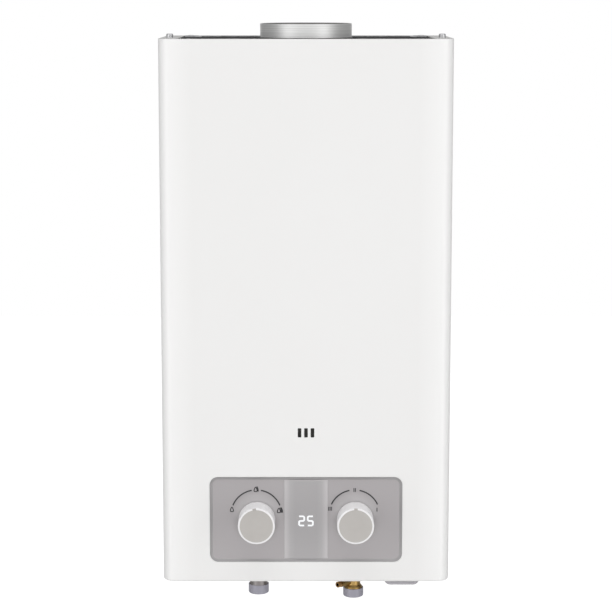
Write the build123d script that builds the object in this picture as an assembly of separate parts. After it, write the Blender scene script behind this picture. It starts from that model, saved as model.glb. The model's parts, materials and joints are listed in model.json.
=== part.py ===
from build123d import *
import os

# Tankless gas water heater that hangs on a wall. Millimetres, +Z up.
# +X is to the right of someone facing the heater, -Y is towards them and the wall is at y = 0.
# The origin is on the wall, at the middle of the case's width and height.

# Case
CASE_W = 313.0  # over the cover
CASE_H = 590.0
CASE_D = 165.0  # wall to front face
COVER_SHEET = 1.0
CORNER_R = 13.0  # upright front corners, outside
FLOOR_R = 2.5  # rolled edge round the cover's floor, outside
TOP_FLANGE = 20.0  # side strips of the cover's top
TOP_LIP = 3.0  # front strip of the cover's top
FLOOR_LIP = 10.0  # strip of floor left round the bottom opening
CUT_ROLL = 0.6  # rounding of the panel opening's front edge
MIN_EDGE = 0.2  # flat edge left beside it
COVER_PLAY = 0.5  # between the cover and the chassis
REAR_GAP = 0.3  # cover's rear edge to the back plate
PLATE = 1.2  # chassis sheet
PLATE_CORNER_R = 4.0
RETURN_D = 25.0  # side returns of the back plate
RIB_X = 40.0  # pressed stiffening ribs of the back plate
RIB_W = 14.0
RIB_DEPTH = 3.0
RIB_END = 90.0  # case edge to the end of a rib
BOLT_HOLE_D = 8.0  # four wall screws
BOLT_INSET_X = 51.5  # case side to a wall screw
BOLT_INSET_Z = 55.0
KEYHOLE_D = 11.0
KEYHOLE_SLOT = 5.5
KEYHOLE_RISE = 12.0
KEYHOLE_DROP = 40.0  # case top to the keyhole's round end

# Sight slots over the burner
SLOT_W = 3.9
SLOT_H = 10.3
SLOT_PITCH = 7.0
SLOT_COUNT = 3
SLOT_R = 0.8
SLOT_RISE = 166.8  # case floor to the middle of the slots
GLASS_T = 1.5
GLASS_MARGIN = 8.0
GLASS_R = 2.0

# Control panel
PANEL_W = 209.6  # opening in the cover
PANEL_H = 95.0
PANEL_R = 9.0
PANEL_RISE = 22.6  # case floor to the opening's lower edge
PANEL_PLAY = 0.2
PANEL_FLANGE = 5.0  # hidden border behind the cover
PANEL_T = 2.5
PANEL_LAND = 0.3  # flat edge at the front of the rim
PANEL_SINK = 1.8  # field behind the front face
PANEL_BEVEL = 2.8  # width of the sloping border
BOSS_D = 24.0
BOSS_H = 12.0
BOSS_PLAY = 0.3

# Display
WINDOW_W = 47.6
WINDOW_BULGE = 1.2
WINDOW_PLAY = 0.15
WINDOW_FLANGE = 3.0
WINDOW_FLANGE_T = 1.5
DIGIT_W = 5.6  # to the middle of the strokes
DIGIT_H = 10.3
DIGIT_STROKE = 1.8
DIGIT_R = 1.6
DIGIT_PITCH = 9.5
DIGIT_DROP = 1.6  # panel middle to the digits' middle
DIGIT_PLAY = 0.05
DIGIT_PROUD = 0.1
BOARD_W = 68.0
BOARD_H = 70.0
BOARD_T = 1.6
BOARD_R = 2.0
BOARD_GAP = 3.0  # panel's back to the board
POST_D = 5.0
POST_INSET = 4.0
SCREW_PILOT_D = 2.2
SCREW_FIT = 0.1  # screw shank to its hole

# Knobs and spindles
KNOB_PITCH = 106.4
KNOB_RISE = 3.3  # panel middle to the spindles
KNOB_D = 39.6
KNOB_L = 28.0
KNOB_STANDOFF = 14.0  # panel's field to the knob's back
KNOB_WALL = 2.2
KNOB_EDGE_R = 0.7
KNOB_HUB_D = 14.0
KNOB_WEB = 8.0  # solid front end
KNOB_RING = 2.0  # bright ring round the face
FACE_SINK = 1.0  # depth of the face insert's seat
FACE_PROUD = 0.2
POINTER_W = 3.8
POINTER_DEPTH = 0.4  # groove along the knob's side
FLAME_POINTER = 6.6  # degrees left of upright, as the knobs stand
WATER_POINTER = -1.0
SPINDLE_D = 8.0
SPINDLE_GRIP = 18.0  # length inside the knob
SPINDLE_FIT = 0.05
ROTOR_D = 14.0
ROTOR_END_GAP = 1.0
RUN_FIT = 0.05  # running clearance on radius
PORT_D = 7.0

# Valve bodies
VALVE_W = 40.0
VALVE_H = 36.0
VALVE_FRONT = 15.0  # case front to valve front
VALVE_BEHIND = 10.0  # inlet axis to valve rear
VALVE_EDGE_R = 2.0
INLET_BACK = 60.0  # case front to the inlet fittings' axis
BONNET_D = 26.0
BONNET_T = 3.0
SOLENOID_D = 24.0
SOLENOID_L = 27.0
SOLENOID_NECK_D = 12.0
SOLENOID_NECK_L = 5.0

# Water-flow linkage
ROD_D = 5.0
ROD_BEHIND = 27.5  # valve front to the rod
ROD_TRAVEL = 5.0
ROD_ENTRY = 4.8  # rod inside the gas valve at rest
ROD_HEAD_D = 20.0
ROD_HEAD_T = 2.0
ROD_HEAD_GAP = 0.3
ROD_COLLAR_D = 12.0
ROD_COLLAR_T = 3.0
ROD_COLLAR_GAP = 9.2  # diaphragm cover to the collar
DIAPHRAGM_D = 52.0
DIAPHRAGM_T = 2.0
HOUSING_T = 7.0
HOUSING_CAVITY = 5.0
HOUSING_BORE_D = 36.0
COVER_CAP_T = 12.0
COVER_CAP_WALL = 2.0
SMALL_SCREW_D = 3.0
SMALL_HEAD_D = 5.6
SMALL_HEAD_H = 2.2
DIAPHRAGM_SCREWS = 6
SWITCH_L = 26.0
SWITCH_W = 10.0
SWITCH_H = 12.5
SWITCH_DROP = 21.5  # rod axis to the switch's top
PIVOT_RISE = 2.5  # switch's top to the lever pivot
PIVOT_PIN_D = 2.0
LEVER_HUB_D = 4.0
LEVER_T = 0.8
LEVER_W = 6.0
LEVER_GAP = 0.4
LEVER_REACH = 1.5  # lever tip past the collar's edge
EAR_T = 1.4

# Pipe fittings, G 1/2 male threads
THREAD_D = 20.955
FITTING_BORE_D = 14.0
FITTING_AF = 27.0
FITTING_HEAD = 12.0
FITTING_CHAMFER = 0.8
RELIEF_W = 2.0  # groove between the lock nut and the hot outlet's thread
RELIEF_DEPTH = 1.0
NECK_D = 13.0  # narrow neck above the two capped threads
NECK_BORE_D = 9.0
CAP_RIM_GAP = 2.0  # capped thread's top to its cap's rim
HOLE_PLAY = 0.6
NUT_AF = 27.0
NUT_T = 6.0
NUT_CHAMFER = 1.2
NUT_PLAY = 0.1
GAS_DROP = 28.6  # case floor to the fitting's end
COLD_DROP = 32.4
HOT_DROP = 28.0
HOT_HEAD_RISE = 32.0  # case floor to the hot fitting's top
CAP_WALL = 0.8
CAP_END = 1.2
CAP_PLAY = 0.12
CAP_EDGE_R = 1.8
GAS_CAP_L = 10.5
COLD_CAP_L = 10.0
FILTER_D = 13.6
FILTER_L = 5.0
FILTER_WALL = 0.8
FILTER_SLOTS = 5
FILTER_SLOT_W = 1.0
FILTER_PITCH = 2.0
FILTER_PLAY = 0.2

# Drain valve on the cold inlet
DRAIN_WALL = 1.4  # ring round the neck
DRAIN_RING_H = 14.0
DRAIN_RISE = 0.6  # cold cap's rim to the ring
DRAIN_TUBE_D = 7.6
DRAIN_TUBE_END = 20.5  # inlet axis to the tube's end
DRAIN_SCREW_D = 5.0
DRAIN_HEAD_D = 6.6
DRAIN_HEAD_L = 4.5
DRAIN_SHANK_L = 5.5
DRAIN_HEAD_GAP = 0.3
DRAIN_SOCKET_AF = 3.4
DRAIN_SOCKET_L = 3.0

# Burner and heat exchanger
SIDE_ROOM = 72.5  # case side to the chamber
FRONT_ROOM = 30.5
BACK_ROOM = 30.5
SHEET_COPPER = 1.0
BURNER_RISE = 14.0  # valve top to the burner blades
BLADE_H = 65.0
BLADE_T = 9.0
BLADE_R = 3.0
BLADE_PITCH = 16.5
BLADE_SIDE_GAP = 2.0
BLADE_END_GAP = 8.0
BLADE_MOUTH_D = 6.5
BLADE_MOUTH_L = 24.0
RAIL_H = 4.0
RAIL_D = 8.0
RAIL_INSET = 10.0
FLAME_GAP = 20.0  # blade tops to the chamber
STRIP_H = 16.0  # front strip that holds the electrodes
CHAMBER_H = 210.0
FIN_T = 0.6
FIN_H = 46.0
FIN_PITCH = 6.5
FIN_DROP = 5.0  # chamber top to fin top
FIN_SIDE_GAP = 4.0
FIN_FIT = 0.05
PIPE_D = 15.0
PIPE_WALL = 1.0
TUBE_EDGE = 14.0  # chamber wall to the outer tube runs
TUBE_MIN_PITCH = 17.0
TUBE_OUT = 8.0  # chamber side to the start of a return bend
TUBE_TAIL = 20.0  # chamber side to the tube's open ends
TUBE_FIT = 0.1
PIPE_BEND = 11.0
WRAP_GAP = 2.5  # riser pipe to the chamber
WRAP_RISE = 44.8  # chamber bottom to the first wrap
WRAP_STEP = 8.0  # climb on each side of the chamber
RISER_OUT = 34.0  # chamber side to the upright pipes
UNION_L = 16.0
UNION_WALL = 2.5
MANIFOLD_D = 14.0
MANIFOLD_H = 16.0
MANIFOLD_BORE_D = 9.0
MANIFOLD_END = 8.0  # last jet to the manifold's end
JET_D = 6.0
JET_L = 6.0
JET_BORE_D = 1.2
JET_GAP = 2.0
JET_RISE = 12.0  # blade bottom to the jets
ELECTRODE_X = 14.0
ELECTRODE_D = 2.4
ELECTRODE_DROP = 10.0
ELECTRODE_IN = 22.0
ELECTRODE_OUT = 14.5
ELECTRODE_TIP = 5.0
ELECTRODE_BEND = 4.8
INSULATOR_D = 8.0
INSULATOR_IN = 9.0
INSULATOR_OUT = 12.0
SHOULDER_D = 11.0
SHOULDER_T = 3.0
OVERHEAT_D = 16.0
OVERHEAT_T = 6.0
OVERHEAT_X = 60.0
OVERHEAT_RISE = 135.0  # chamber bottom to the switch
TAB_T = 0.8
TAB_W = 6.0
TAB_L = 5.0
TAB_PITCH = 8.0

# Flue
FLUE_D = 100.0  # outside of the collar, for a 100 mm duct
FLUE_WALL = 1.0
FLUE_RISE = 15.0  # above the case
FLUE_L = 45.0
FLUE_FOOT = 5.0
FLUE_FOOT_T = 1.0
DUCT_GAP = 6.0  # collar to the edge of the hole in the top plate
HOOD_MARGIN = 6.0  # collar's foot to the hood's top edge

# Battery box for two D cells
CELL_D = 34.2
CELL_L = 61.5
CELL_COUNT = 2
CELL_NUB_D = 9.5
CELL_NUB_L = 1.5
CELL_PLAY = 0.6
BATTERY_WALL = 1.8
BATTERY_R = 7.0
BATTERY_SIDE_GAP = 3.5
BATTERY_BACK = 60.0  # case front to the cells' axis
BATTERY_DROP = 9.0  # case floor to the box's open end
BATTERY_FLANGE = 4.0
BATTERY_FLANGE_T = 2.0
BATTERY_HOLE_PLAY = 0.4
CONTACT_T = 0.6
CONTACT_W = 16.0
CONTACT_GAP = 0.4
DOOR_T = 7.7
DOOR_GAP = 0.3
DOOR_EDGE_R = 6.2
HINGE_D = 6.0
HINGE_PIN_D = 2.5
HINGE_BACK = 3.6  # box's rear face to the hinge pin
HINGE_DROP = 1.0
HINGE_EAR_W = 5.0
HINGE_INSET = 5.0
HINGE_SIDE_GAP = 0.5

# Igniter module and its leads
IGNITER_W = 50.0
IGNITER_D = 60.0
IGNITER_H = 44.0
IGNITER_R = 4.0
IGNITER_SIDE_GAP = 8.0  # cover to the module
IGNITER_FRONT = 15.0
TOWER_D = 9.0
TOWER_H = 8.0
TOWER_PITCH = 18.0
TOWER_INSET = 14.0
LEAD_D = 3.2
LEAD_BEND = 4.0
LEAD_LAYER = 5.4  # electrode end to the first lead
LEAD_STEP = 4.4  # between the two leads
LEAD_DROP = 105.0
LEAD_SIDE = 7.0  # manifold end to the first lead

# Air slots in the floor
AIR_SLOT_W = 4.0
AIR_SLOT_L = 70.0
AIR_SLOT_PITCH = 8.0
AIR_SLOT_COUNT = 9

# Cover screws
COVER_SCREW_D = 4.0
COVER_SCREW_L = 10.0
COVER_HEAD_D = 7.5
COVER_HEAD_H = 4.6
COVER_HEAD_R = 1.5
COVER_SCREW_BACK = 50.0  # case front to the screws
RECESS_W = 0.9
RECESS_L = 4.4
RECESS_T = 1.6

# Cutters run past the faces that they open by this much
PAST = 2.0

# Main planes
FRONT_Y = -CASE_D
INNER_FRONT_Y = FRONT_Y + COVER_SHEET
TOP_Z = CASE_H / 2
FLOOR_Z = -CASE_H / 2
COVER_REAR_Y = -PLATE - REAR_GAP
PLATE_TOP_Z = FLOOR_Z + COVER_SHEET + PLATE
TOP_PLATE_Z = TOP_Z - COVER_SHEET - PLATE
CHASSIS_X = CASE_W / 2 - COVER_SHEET - COVER_PLAY
SLOT_Z = FLOOR_Z + SLOT_RISE

# Panel and knobs
PANEL_Z = FLOOR_Z + PANEL_RISE + PANEL_H / 2
PANEL_BACK_Y = INNER_FRONT_Y + PANEL_T
FIELD_Y = FRONT_Y + PANEL_SINK
FIELD_INSET = PANEL_PLAY + PANEL_LAND + PANEL_BEVEL
FIELD_H = PANEL_H - 2 * FIELD_INSET
BOARD_Y = PANEL_BACK_Y + BOARD_GAP
KNOB_X = KNOB_PITCH / 2
KNOB_Z = PANEL_Z + KNOB_RISE
KNOB_BACK_Y = FIELD_Y - KNOB_STANDOFF
KNOB_FACE_Y = KNOB_BACK_Y - KNOB_L

# Valves and linkage
VALVE_FRONT_Y = FRONT_Y + VALVE_FRONT
INLET_Y = FRONT_Y + INLET_BACK
VALVE_REAR_Y = INLET_Y + VALVE_BEHIND
VALVE_TOP_Z = KNOB_Z + VALVE_H / 2
VALVE_FLOOR_Z = KNOB_Z - VALVE_H / 2
ROTOR_FRONT_Y = VALVE_FRONT_Y + ROTOR_END_GAP
ROTOR_REAR_Y = INLET_Y + PORT_D / 2 + ROTOR_END_GAP
GAS_SIDE_X = -KNOB_X + VALVE_W / 2
WATER_SIDE_X = KNOB_X - VALVE_W / 2
ROD_Y = VALVE_FRONT_Y + ROD_BEHIND
DIAPHRAGM_X = WATER_SIDE_X - HOUSING_T
COVER_CAP_X = DIAPHRAGM_X - DIAPHRAGM_T
COVER_CAP_END_X = COVER_CAP_X - COVER_CAP_T
ROD_COLLAR_X = COVER_CAP_END_X - ROD_COLLAR_GAP
LEVER_X = ROD_COLLAR_X - ROD_COLLAR_T - LEVER_GAP - LEVER_T / 2
SWITCH_TOP_Z = KNOB_Z - SWITCH_DROP
PIVOT_Z = SWITCH_TOP_Z + PIVOT_RISE

# Chamber, burner and flue
CHAMBER_X = CASE_W / 2 - SIDE_ROOM
CHAMBER_FRONT_Y = FRONT_Y + FRONT_ROOM
CHAMBER_REAR_Y = -BACK_ROOM
CHAMBER_D = CHAMBER_REAR_Y - CHAMBER_FRONT_Y
FLUE_Y = (CHAMBER_FRONT_Y + CHAMBER_REAR_Y) / 2
BLADE_Z = VALVE_TOP_Z + BURNER_RISE
BLADE_TOP_Z = BLADE_Z + BLADE_H
BLADE_FRONT_Y = CHAMBER_FRONT_Y + BLADE_END_GAP
BLADE_REAR_Y = CHAMBER_REAR_Y - BLADE_END_GAP
BLADE_ROOM = 2 * (CHAMBER_X - SHEET_COPPER - BLADE_SIDE_GAP) - BLADE_T
BLADE_COUNT = int(BLADE_ROOM / BLADE_PITCH) + 1
BLADE_XS = [(i - (BLADE_COUNT - 1) / 2) * BLADE_PITCH for i in range(BLADE_COUNT)]
CHAMBER_Z = BLADE_TOP_Z + FLAME_GAP
CHAMBER_TOP_Z = CHAMBER_Z + CHAMBER_H
FLUE_TOP_Z = TOP_Z + FLUE_RISE
HOOD_TOP_Z = FLUE_TOP_Z - FLUE_L
JET_Z = BLADE_Z + JET_RISE
JET_Y = BLADE_FRONT_Y - JET_GAP
MANIFOLD_REAR_Y = JET_Y - JET_L
MANIFOLD_Y = MANIFOLD_REAR_Y - MANIFOLD_D / 2
MANIFOLD_X = BLADE_XS[-1] + MANIFOLD_END

# Tubes and pipes
PIPE_R = PIPE_D / 2
TUBE_RUNS = 2 * int((CHAMBER_D - 2 * TUBE_EDGE) / TUBE_MIN_PITCH / 2) + 1
TUBE_PITCH = (CHAMBER_D - 2 * TUBE_EDGE) / (TUBE_RUNS - 1)
TUBE_YS = [CHAMBER_FRONT_Y + TUBE_EDGE + i * TUBE_PITCH for i in range(TUBE_RUNS)]
TUBE_Z = CHAMBER_TOP_Z - FIN_DROP - FIN_H / 2
TUBE_END_X = CHAMBER_X + TUBE_TAIL
RISER_X = CHAMBER_X + RISER_OUT
WRAP_OFFSET = WRAP_GAP + PIPE_R

# Fittings under the case: x, y, top, end
NUT_FLOOR_Z = PLATE_TOP_Z - PLATE - NUT_T
GAS_END_Z = FLOOR_Z - GAS_DROP
COLD_END_Z = FLOOR_Z - COLD_DROP
HOT_END_Z = FLOOR_Z - HOT_DROP
HOT_TOP_Z = FLOOR_Z + HOT_HEAD_RISE
HOT_X = -RISER_X
HOT_Y = TUBE_YS[-1]
FITTING_SPOTS = [(-KNOB_X, INLET_Y), (KNOB_X, INLET_Y), (HOT_X, HOT_Y)]
GAS_RIM_Z = GAS_END_Z - CAP_END + GAS_CAP_L
COLD_RIM_Z = COLD_END_Z - CAP_END + COLD_CAP_L
DRAIN_Z = COLD_RIM_Z + DRAIN_RISE + DRAIN_RING_H / 2
DRAIN_AXIS = Vector(-1, -1, 0).normalized()

# Battery box
BATTERY_W = CELL_D + 2 * (CELL_PLAY + BATTERY_WALL)
BATTERY_X = max(CHAMBER_X, KNOB_X + VALVE_W / 2) + BATTERY_SIDE_GAP + BATTERY_W / 2
BATTERY_Y = FRONT_Y + BATTERY_BACK
BATTERY_Z = FLOOR_Z - BATTERY_DROP
BATTERY_REAR_Y = BATTERY_Y + BATTERY_W / 2
DOOR_TOP_Z = BATTERY_Z - DOOR_GAP
CELL_Z = DOOR_TOP_Z + 2 * CONTACT_T + CONTACT_GAP
CELL_TOP_Z = CELL_Z + CELL_COUNT * CELL_L
BATTERY_CEILING_Z = CELL_TOP_Z + CONTACT_GAP + CONTACT_T
HINGE_Y = BATTERY_REAR_Y + HINGE_BACK
HINGE_Z = BATTERY_Z - HINGE_DROP
HINGE_EAR_X = BATTERY_W / 2 - HINGE_INSET

# Igniter
IGNITER_X = -CHASSIS_X + IGNITER_SIDE_GAP + IGNITER_W / 2
IGNITER_Y = FRONT_Y + IGNITER_FRONT + IGNITER_D / 2
IGNITER_TOP_Z = PLATE_TOP_Z + IGNITER_H
ELECTRODE_Z = CHAMBER_Z - ELECTRODE_DROP
ELECTRODE_END_Y = CHAMBER_FRONT_Y - ELECTRODE_OUT

# Cover screws
COVER_SCREW_X = CASE_W / 2 - TOP_FLANGE / 2
COVER_SCREW_Y = FRONT_Y + COVER_SCREW_BACK


def block(x0, x1, y0, y1, z0, z1):
    """Box between two corners."""
    return Pos((x0 + x1) / 2, (y0 + y1) / 2, (z0 + z1) / 2) * Box(x1 - x0, y1 - y0, z1 - z0)


def bar(diameter, start, end):
    """Round bar between two points."""
    axis = Vector(*end) - Vector(*start)
    return Part() + Solid.make_cylinder(diameter / 2, axis.length, Plane(origin=start, z_dir=axis))


def bar_x(diameter, x0, x1, y, z):
    return bar(diameter, (x0, y, z), (x1, y, z))


def bar_y(diameter, y0, y1, x, z):
    return bar(diameter, (x, y0, z), (x, y1, z))


def bar_z(diameter, z0, z1, x, y):
    return bar(diameter, (x, y, z0), (x, y, z1))


def hexagon(flats, start, end):
    """Hexagonal bar between two points."""
    axis = Vector(*end) - Vector(*start)
    outline = RegularPolygon(flats / 2, 6, major_radius=False)
    return extrude(Plane(origin=start, z_dir=axis) * outline, axis.length)


def front_plate(outline, y_back, y_front):
    """Plate from an outline drawn as seen from the front, x across and z up."""
    plane = Plane(origin=(0, y_back, 0), x_dir=(1, 0, 0), z_dir=(0, -1, 0))
    return extrude(plane * outline, y_back - y_front)


def group(pieces):
    """Separate solids kept together in one node."""
    return Compound([solid for piece in pieces for solid in piece.solids()])


def panel_outline(inset):
    """The panel opening's outline, drawn in by an inset, or out by a negative one."""
    outline = RectangleRounded(PANEL_W - 2 * inset, PANEL_H - 2 * inset, PANEL_R - inset)
    return Pos(0, PANEL_Z) * outline


def pipe(points, bend, diameter=PIPE_D, bore=PIPE_D - 2 * PIPE_WALL):
    """Tube along straight runs joined by bends."""
    path = FilletPolyline(*points, radius=bend)
    start = Plane(origin=points[0], z_dir=Vector(*points[1]) - Vector(*points[0]))
    ring = Circle(diameter / 2)
    if bore:
        ring -= Circle(bore / 2)
    return sweep(start * ring, path=path)


def case_plan(inset, rear_y):
    """Case seen from above, drawn in by an inset, with its two front corners rounded."""
    front_y = FRONT_Y + inset
    plan = Pos(0, (front_y + rear_y) / 2) * Rectangle(CASE_W - 2 * inset, rear_y - front_y)
    return fillet(plan.vertices().group_by(Axis.Y)[0], CORNER_R - inset)


def rolled_block(inset, rear_y):
    """Block of the case's plan with its lower edges rolled, except at the rear."""
    z0 = FLOOR_Z + inset
    body = Pos(0, 0, z0) * extrude(case_plan(inset, rear_y), TOP_Z - inset - z0)
    lower = body.edges().group_by(Axis.Z)[0]
    rolled = lower.filter_by(lambda edge: edge.center().Y < rear_y - COVER_SHEET)
    return fillet(rolled, FLOOR_R - inset)


# Case and chassis


def sight_slots(y_back, y_front):
    slots = Part()
    for i in range(SLOT_COUNT):
        x = (i - (SLOT_COUNT - 1) / 2) * SLOT_PITCH
        slots += front_plate(Pos(x, SLOT_Z) * RectangleRounded(SLOT_W, SLOT_H, SLOT_R), y_back, y_front)
    return slots


def front_cover():
    cover = rolled_block(0, COVER_REAR_Y) - rolled_block(COVER_SHEET, PAST)
    top_x = CASE_W / 2 - TOP_FLANGE
    cover -= block(-top_x, top_x, FRONT_Y + TOP_LIP, PAST, TOP_Z - COVER_SHEET - PAST, TOP_Z + PAST)
    floor_x = CASE_W / 2 - FLOOR_LIP
    floor_cut_z = FLOOR_Z + COVER_SHEET + PAST
    cover -= block(-floor_x, floor_x, FRONT_Y + FLOOR_LIP, PAST, FLOOR_Z - PAST, floor_cut_z)
    cover -= front_plate(panel_outline(0), INNER_FRONT_Y + PAST, FRONT_Y - PAST)
    rim = cover.edges().filter_by(is_panel_rim)
    cover = fillet(rim, min(CUT_ROLL, COVER_SHEET - MIN_EDGE))
    cover -= sight_slots(INNER_FRONT_Y + PAST, FRONT_Y - PAST)
    for x in (-COVER_SCREW_X, COVER_SCREW_X):
        hole = COVER_SCREW_D + 2 * SCREW_FIT
        cover -= bar_z(hole, TOP_Z - COVER_SHEET - PAST, TOP_Z + PAST, x, COVER_SCREW_Y)
    return cover


def is_panel_rim(edge):
    """True for the edges round the panel opening on the cover's front face."""
    box = edge.bounding_box()
    on_front = abs(box.min.Y - FRONT_Y) < 1e-3 and abs(box.max.Y - FRONT_Y) < 1e-3
    inside_x = abs(edge.center().X) < PANEL_W / 2 + 1e-3
    inside_z = abs(edge.center().Z - PANEL_Z) < PANEL_H / 2 + 1e-3
    return on_front and inside_x and inside_z


def back_plate():
    plate = block(-CASE_W / 2, CASE_W / 2, -PLATE, 0, FLOOR_Z, TOP_Z)
    plate = fillet(plate.edges().filter_by(Axis.Y), PLATE_CORNER_R)
    return_z = FLOOR_Z + FLOOR_R + COVER_PLAY
    for x in (-CHASSIS_X, CHASSIS_X - PLATE):
        plate += block(x, x + PLATE, -PLATE - RETURN_D, -PLATE, return_z, TOP_PLATE_Z)
    rib_z = CASE_H / 2 - RIB_END
    for x in (-RIB_X, RIB_X):
        plate += block(x - RIB_W / 2, x + RIB_W / 2, -PLATE - RIB_DEPTH, -PLATE, -rib_z, rib_z)
        groove = RIB_W / 2 - PLATE
        plate -= block(x - groove, x + groove, -RIB_DEPTH, PAST, -rib_z + PLATE, rib_z - PLATE)
    for x in (-1, 1):
        for z in (-1, 1):
            spot = (x * (CASE_W / 2 - BOLT_INSET_X), z * (CASE_H / 2 - BOLT_INSET_Z))
            plate -= bar_y(BOLT_HOLE_D, -PLATE - PAST, PAST, *spot)
    keyhole_z = TOP_Z - KEYHOLE_DROP
    plate -= bar_y(KEYHOLE_D, -PLATE - PAST, PAST, 0, keyhole_z)
    slot = KEYHOLE_SLOT / 2
    plate -= block(-slot, slot, -PLATE - PAST, PAST, keyhole_z, keyhole_z + KEYHOLE_RISE)
    plate -= bar_y(KEYHOLE_SLOT, -PLATE - PAST, PAST, 0, keyhole_z + KEYHOLE_RISE)
    return plate


def top_plate():
    plan = case_plan(COVER_SHEET + COVER_PLAY, -PLATE)
    plate = Pos(0, 0, TOP_PLATE_Z) * extrude(plan, PLATE)
    plate -= bar_z(FLUE_D + 2 * DUCT_GAP, TOP_PLATE_Z - PAST, TOP_Z + PAST, 0, FLUE_Y)
    for x in (-COVER_SCREW_X, COVER_SCREW_X):
        hole = COVER_SCREW_D + 2 * SCREW_FIT
        plate -= bar_z(hole, TOP_PLATE_Z - PAST, TOP_Z + PAST, x, COVER_SCREW_Y)
    return plate


def bottom_plate():
    z0 = PLATE_TOP_Z - PLATE
    plate = Pos(0, 0, z0) * extrude(case_plan(FLOOR_R + COVER_PLAY, -PLATE), PLATE)
    for x, y in FITTING_SPOTS:
        plate -= bar_z(THREAD_D + 2 * HOLE_PLAY, z0 - PAST, PLATE_TOP_Z + PAST, x, y)
    side = BATTERY_W + 2 * BATTERY_HOLE_PLAY
    plate -= square_tube(side, BATTERY_R + BATTERY_HOLE_PLAY, z0 - PAST, PLATE_TOP_Z + PAST)
    for i in range(AIR_SLOT_COUNT):
        x = (i - (AIR_SLOT_COUNT - 1) / 2) * AIR_SLOT_PITCH
        slot = SlotOverall(AIR_SLOT_L, AIR_SLOT_W, rotation=90)
        plate -= Pos(x, FLUE_Y, z0 - PAST) * extrude(slot, PLATE + 2 * PAST)
    return plate


def cover_screws():
    screws = []
    for x in (-COVER_SCREW_X, COVER_SCREW_X):
        head = bar_z(COVER_HEAD_D, TOP_Z, TOP_Z + COVER_HEAD_H, x, COVER_SCREW_Y)
        head = fillet(head.edges().group_by(Axis.Z)[-1], COVER_HEAD_R)
        recess_z = TOP_Z + COVER_HEAD_H - RECESS_T / 2
        for w, d in ((RECESS_W, RECESS_L), (RECESS_L, RECESS_W)):
            head -= Pos(x, COVER_SCREW_Y, recess_z) * Box(w, d, RECESS_T)
        shank = bar_z(COVER_SCREW_D, TOP_Z - COVER_SCREW_L, TOP_Z, x, COVER_SCREW_Y)
        screws.append(head + shank)
    return group(screws)


def sight_glass():
    width = (SLOT_COUNT - 1) * SLOT_PITCH + SLOT_W + 2 * GLASS_MARGIN
    outline = RectangleRounded(width, SLOT_H + 2 * GLASS_MARGIN, GLASS_R)
    return front_plate(Pos(0, SLOT_Z) * outline, INNER_FRONT_Y + GLASS_T, INNER_FRONT_Y)


# Control panel and display


def post_spots():
    x = BOARD_W / 2 - POST_INSET
    z = BOARD_H / 2 - POST_INSET
    return [(-x, PANEL_Z - z), (x, PANEL_Z - z), (-x, PANEL_Z + z), (x, PANEL_Z + z)]


def control_panel():
    panel = front_plate(panel_outline(-PANEL_FLANGE), PANEL_BACK_Y, INNER_FRONT_Y)
    panel += front_plate(panel_outline(PANEL_PLAY), PANEL_BACK_Y, FRONT_Y)
    views = [Plane(origin=(0, y, 0), x_dir=(1, 0, 0), z_dir=(0, -1, 0)) for y in (FIELD_Y, FRONT_Y)]
    panel -= loft([views[0] * panel_outline(FIELD_INSET), views[1] * panel_outline(PANEL_PLAY + PANEL_LAND)])
    for x in (-KNOB_X, KNOB_X):
        panel += bar_y(BOSS_D, FIELD_Y, FIELD_Y - BOSS_H, x, KNOB_Z)
        hole = SPINDLE_D + 2 * BOSS_PLAY
        panel -= bar_y(hole, PANEL_BACK_Y + PAST, FIELD_Y - BOSS_H - PAST, x, KNOB_Z)
    for x, z in post_spots():
        panel += bar_y(POST_D, PANEL_BACK_Y, BOARD_Y, x, z)
        panel -= bar_y(SCREW_PILOT_D + 2 * SCREW_FIT, PANEL_BACK_Y, BOARD_Y + PAST, x, z)
    window = front_plate(Pos(0, PANEL_Z) * Rectangle(WINDOW_W, FIELD_H), PANEL_BACK_Y + PAST, FIELD_Y - PAST)
    return panel - window


def digit_outlines(stroke):
    """A two and a five, drawn with one rounded stroke each."""
    w = DIGIT_W / 2
    h = DIGIT_H / 2
    two = [(-w, h), (w, h), (w, 0), (-w, 0), (-w, -h), (w, -h)]
    five = [(-x, z) for x, z in two]
    outlines = Sketch()
    for points, x in ((two, -DIGIT_PITCH / 2), (five, DIGIT_PITCH / 2)):
        line = FilletPolyline(*points, radius=DIGIT_R)
        outlines += Pos(x, PANEL_Z - DIGIT_DROP) * trace(line, stroke)
    return outlines


def display_window():
    half = WINDOW_W / 2 - WINDOW_PLAY
    base = Polyline((-half, FIELD_Y), (-half, PANEL_BACK_Y), (half, PANEL_BACK_Y), (half, FIELD_Y))
    crown = ThreePointArc((half, FIELD_Y), (0, FIELD_Y - WINDOW_BULGE), (-half, FIELD_Y))
    height = FIELD_H - 2 * WINDOW_PLAY
    window = Pos(0, 0, PANEL_Z - height / 2) * extrude(make_face([base, crown]), height)
    flange = Rectangle(WINDOW_W + 2 * WINDOW_FLANGE, height)
    window += front_plate(Pos(0, PANEL_Z) * flange, PANEL_BACK_Y + WINDOW_FLANGE_T, PANEL_BACK_Y)
    cut = digit_outlines(DIGIT_STROKE + 2 * DIGIT_PLAY)
    return window - front_plate(cut, BOARD_Y, FIELD_Y - WINDOW_BULGE - PAST)


def display_digits():
    front_y = FIELD_Y - WINDOW_BULGE - DIGIT_PROUD
    return front_plate(digit_outlines(DIGIT_STROKE), BOARD_Y, front_y)


def display_board():
    outline = RectangleRounded(BOARD_W, BOARD_H, BOARD_R)
    board = front_plate(Pos(0, PANEL_Z) * outline, BOARD_Y + BOARD_T, BOARD_Y)
    for x, z in post_spots():
        board -= bar_y(SCREW_PILOT_D + 2 * SCREW_FIT, BOARD_Y - PAST, BOARD_Y + BOARD_T + PAST, x, z)
    return board


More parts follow.
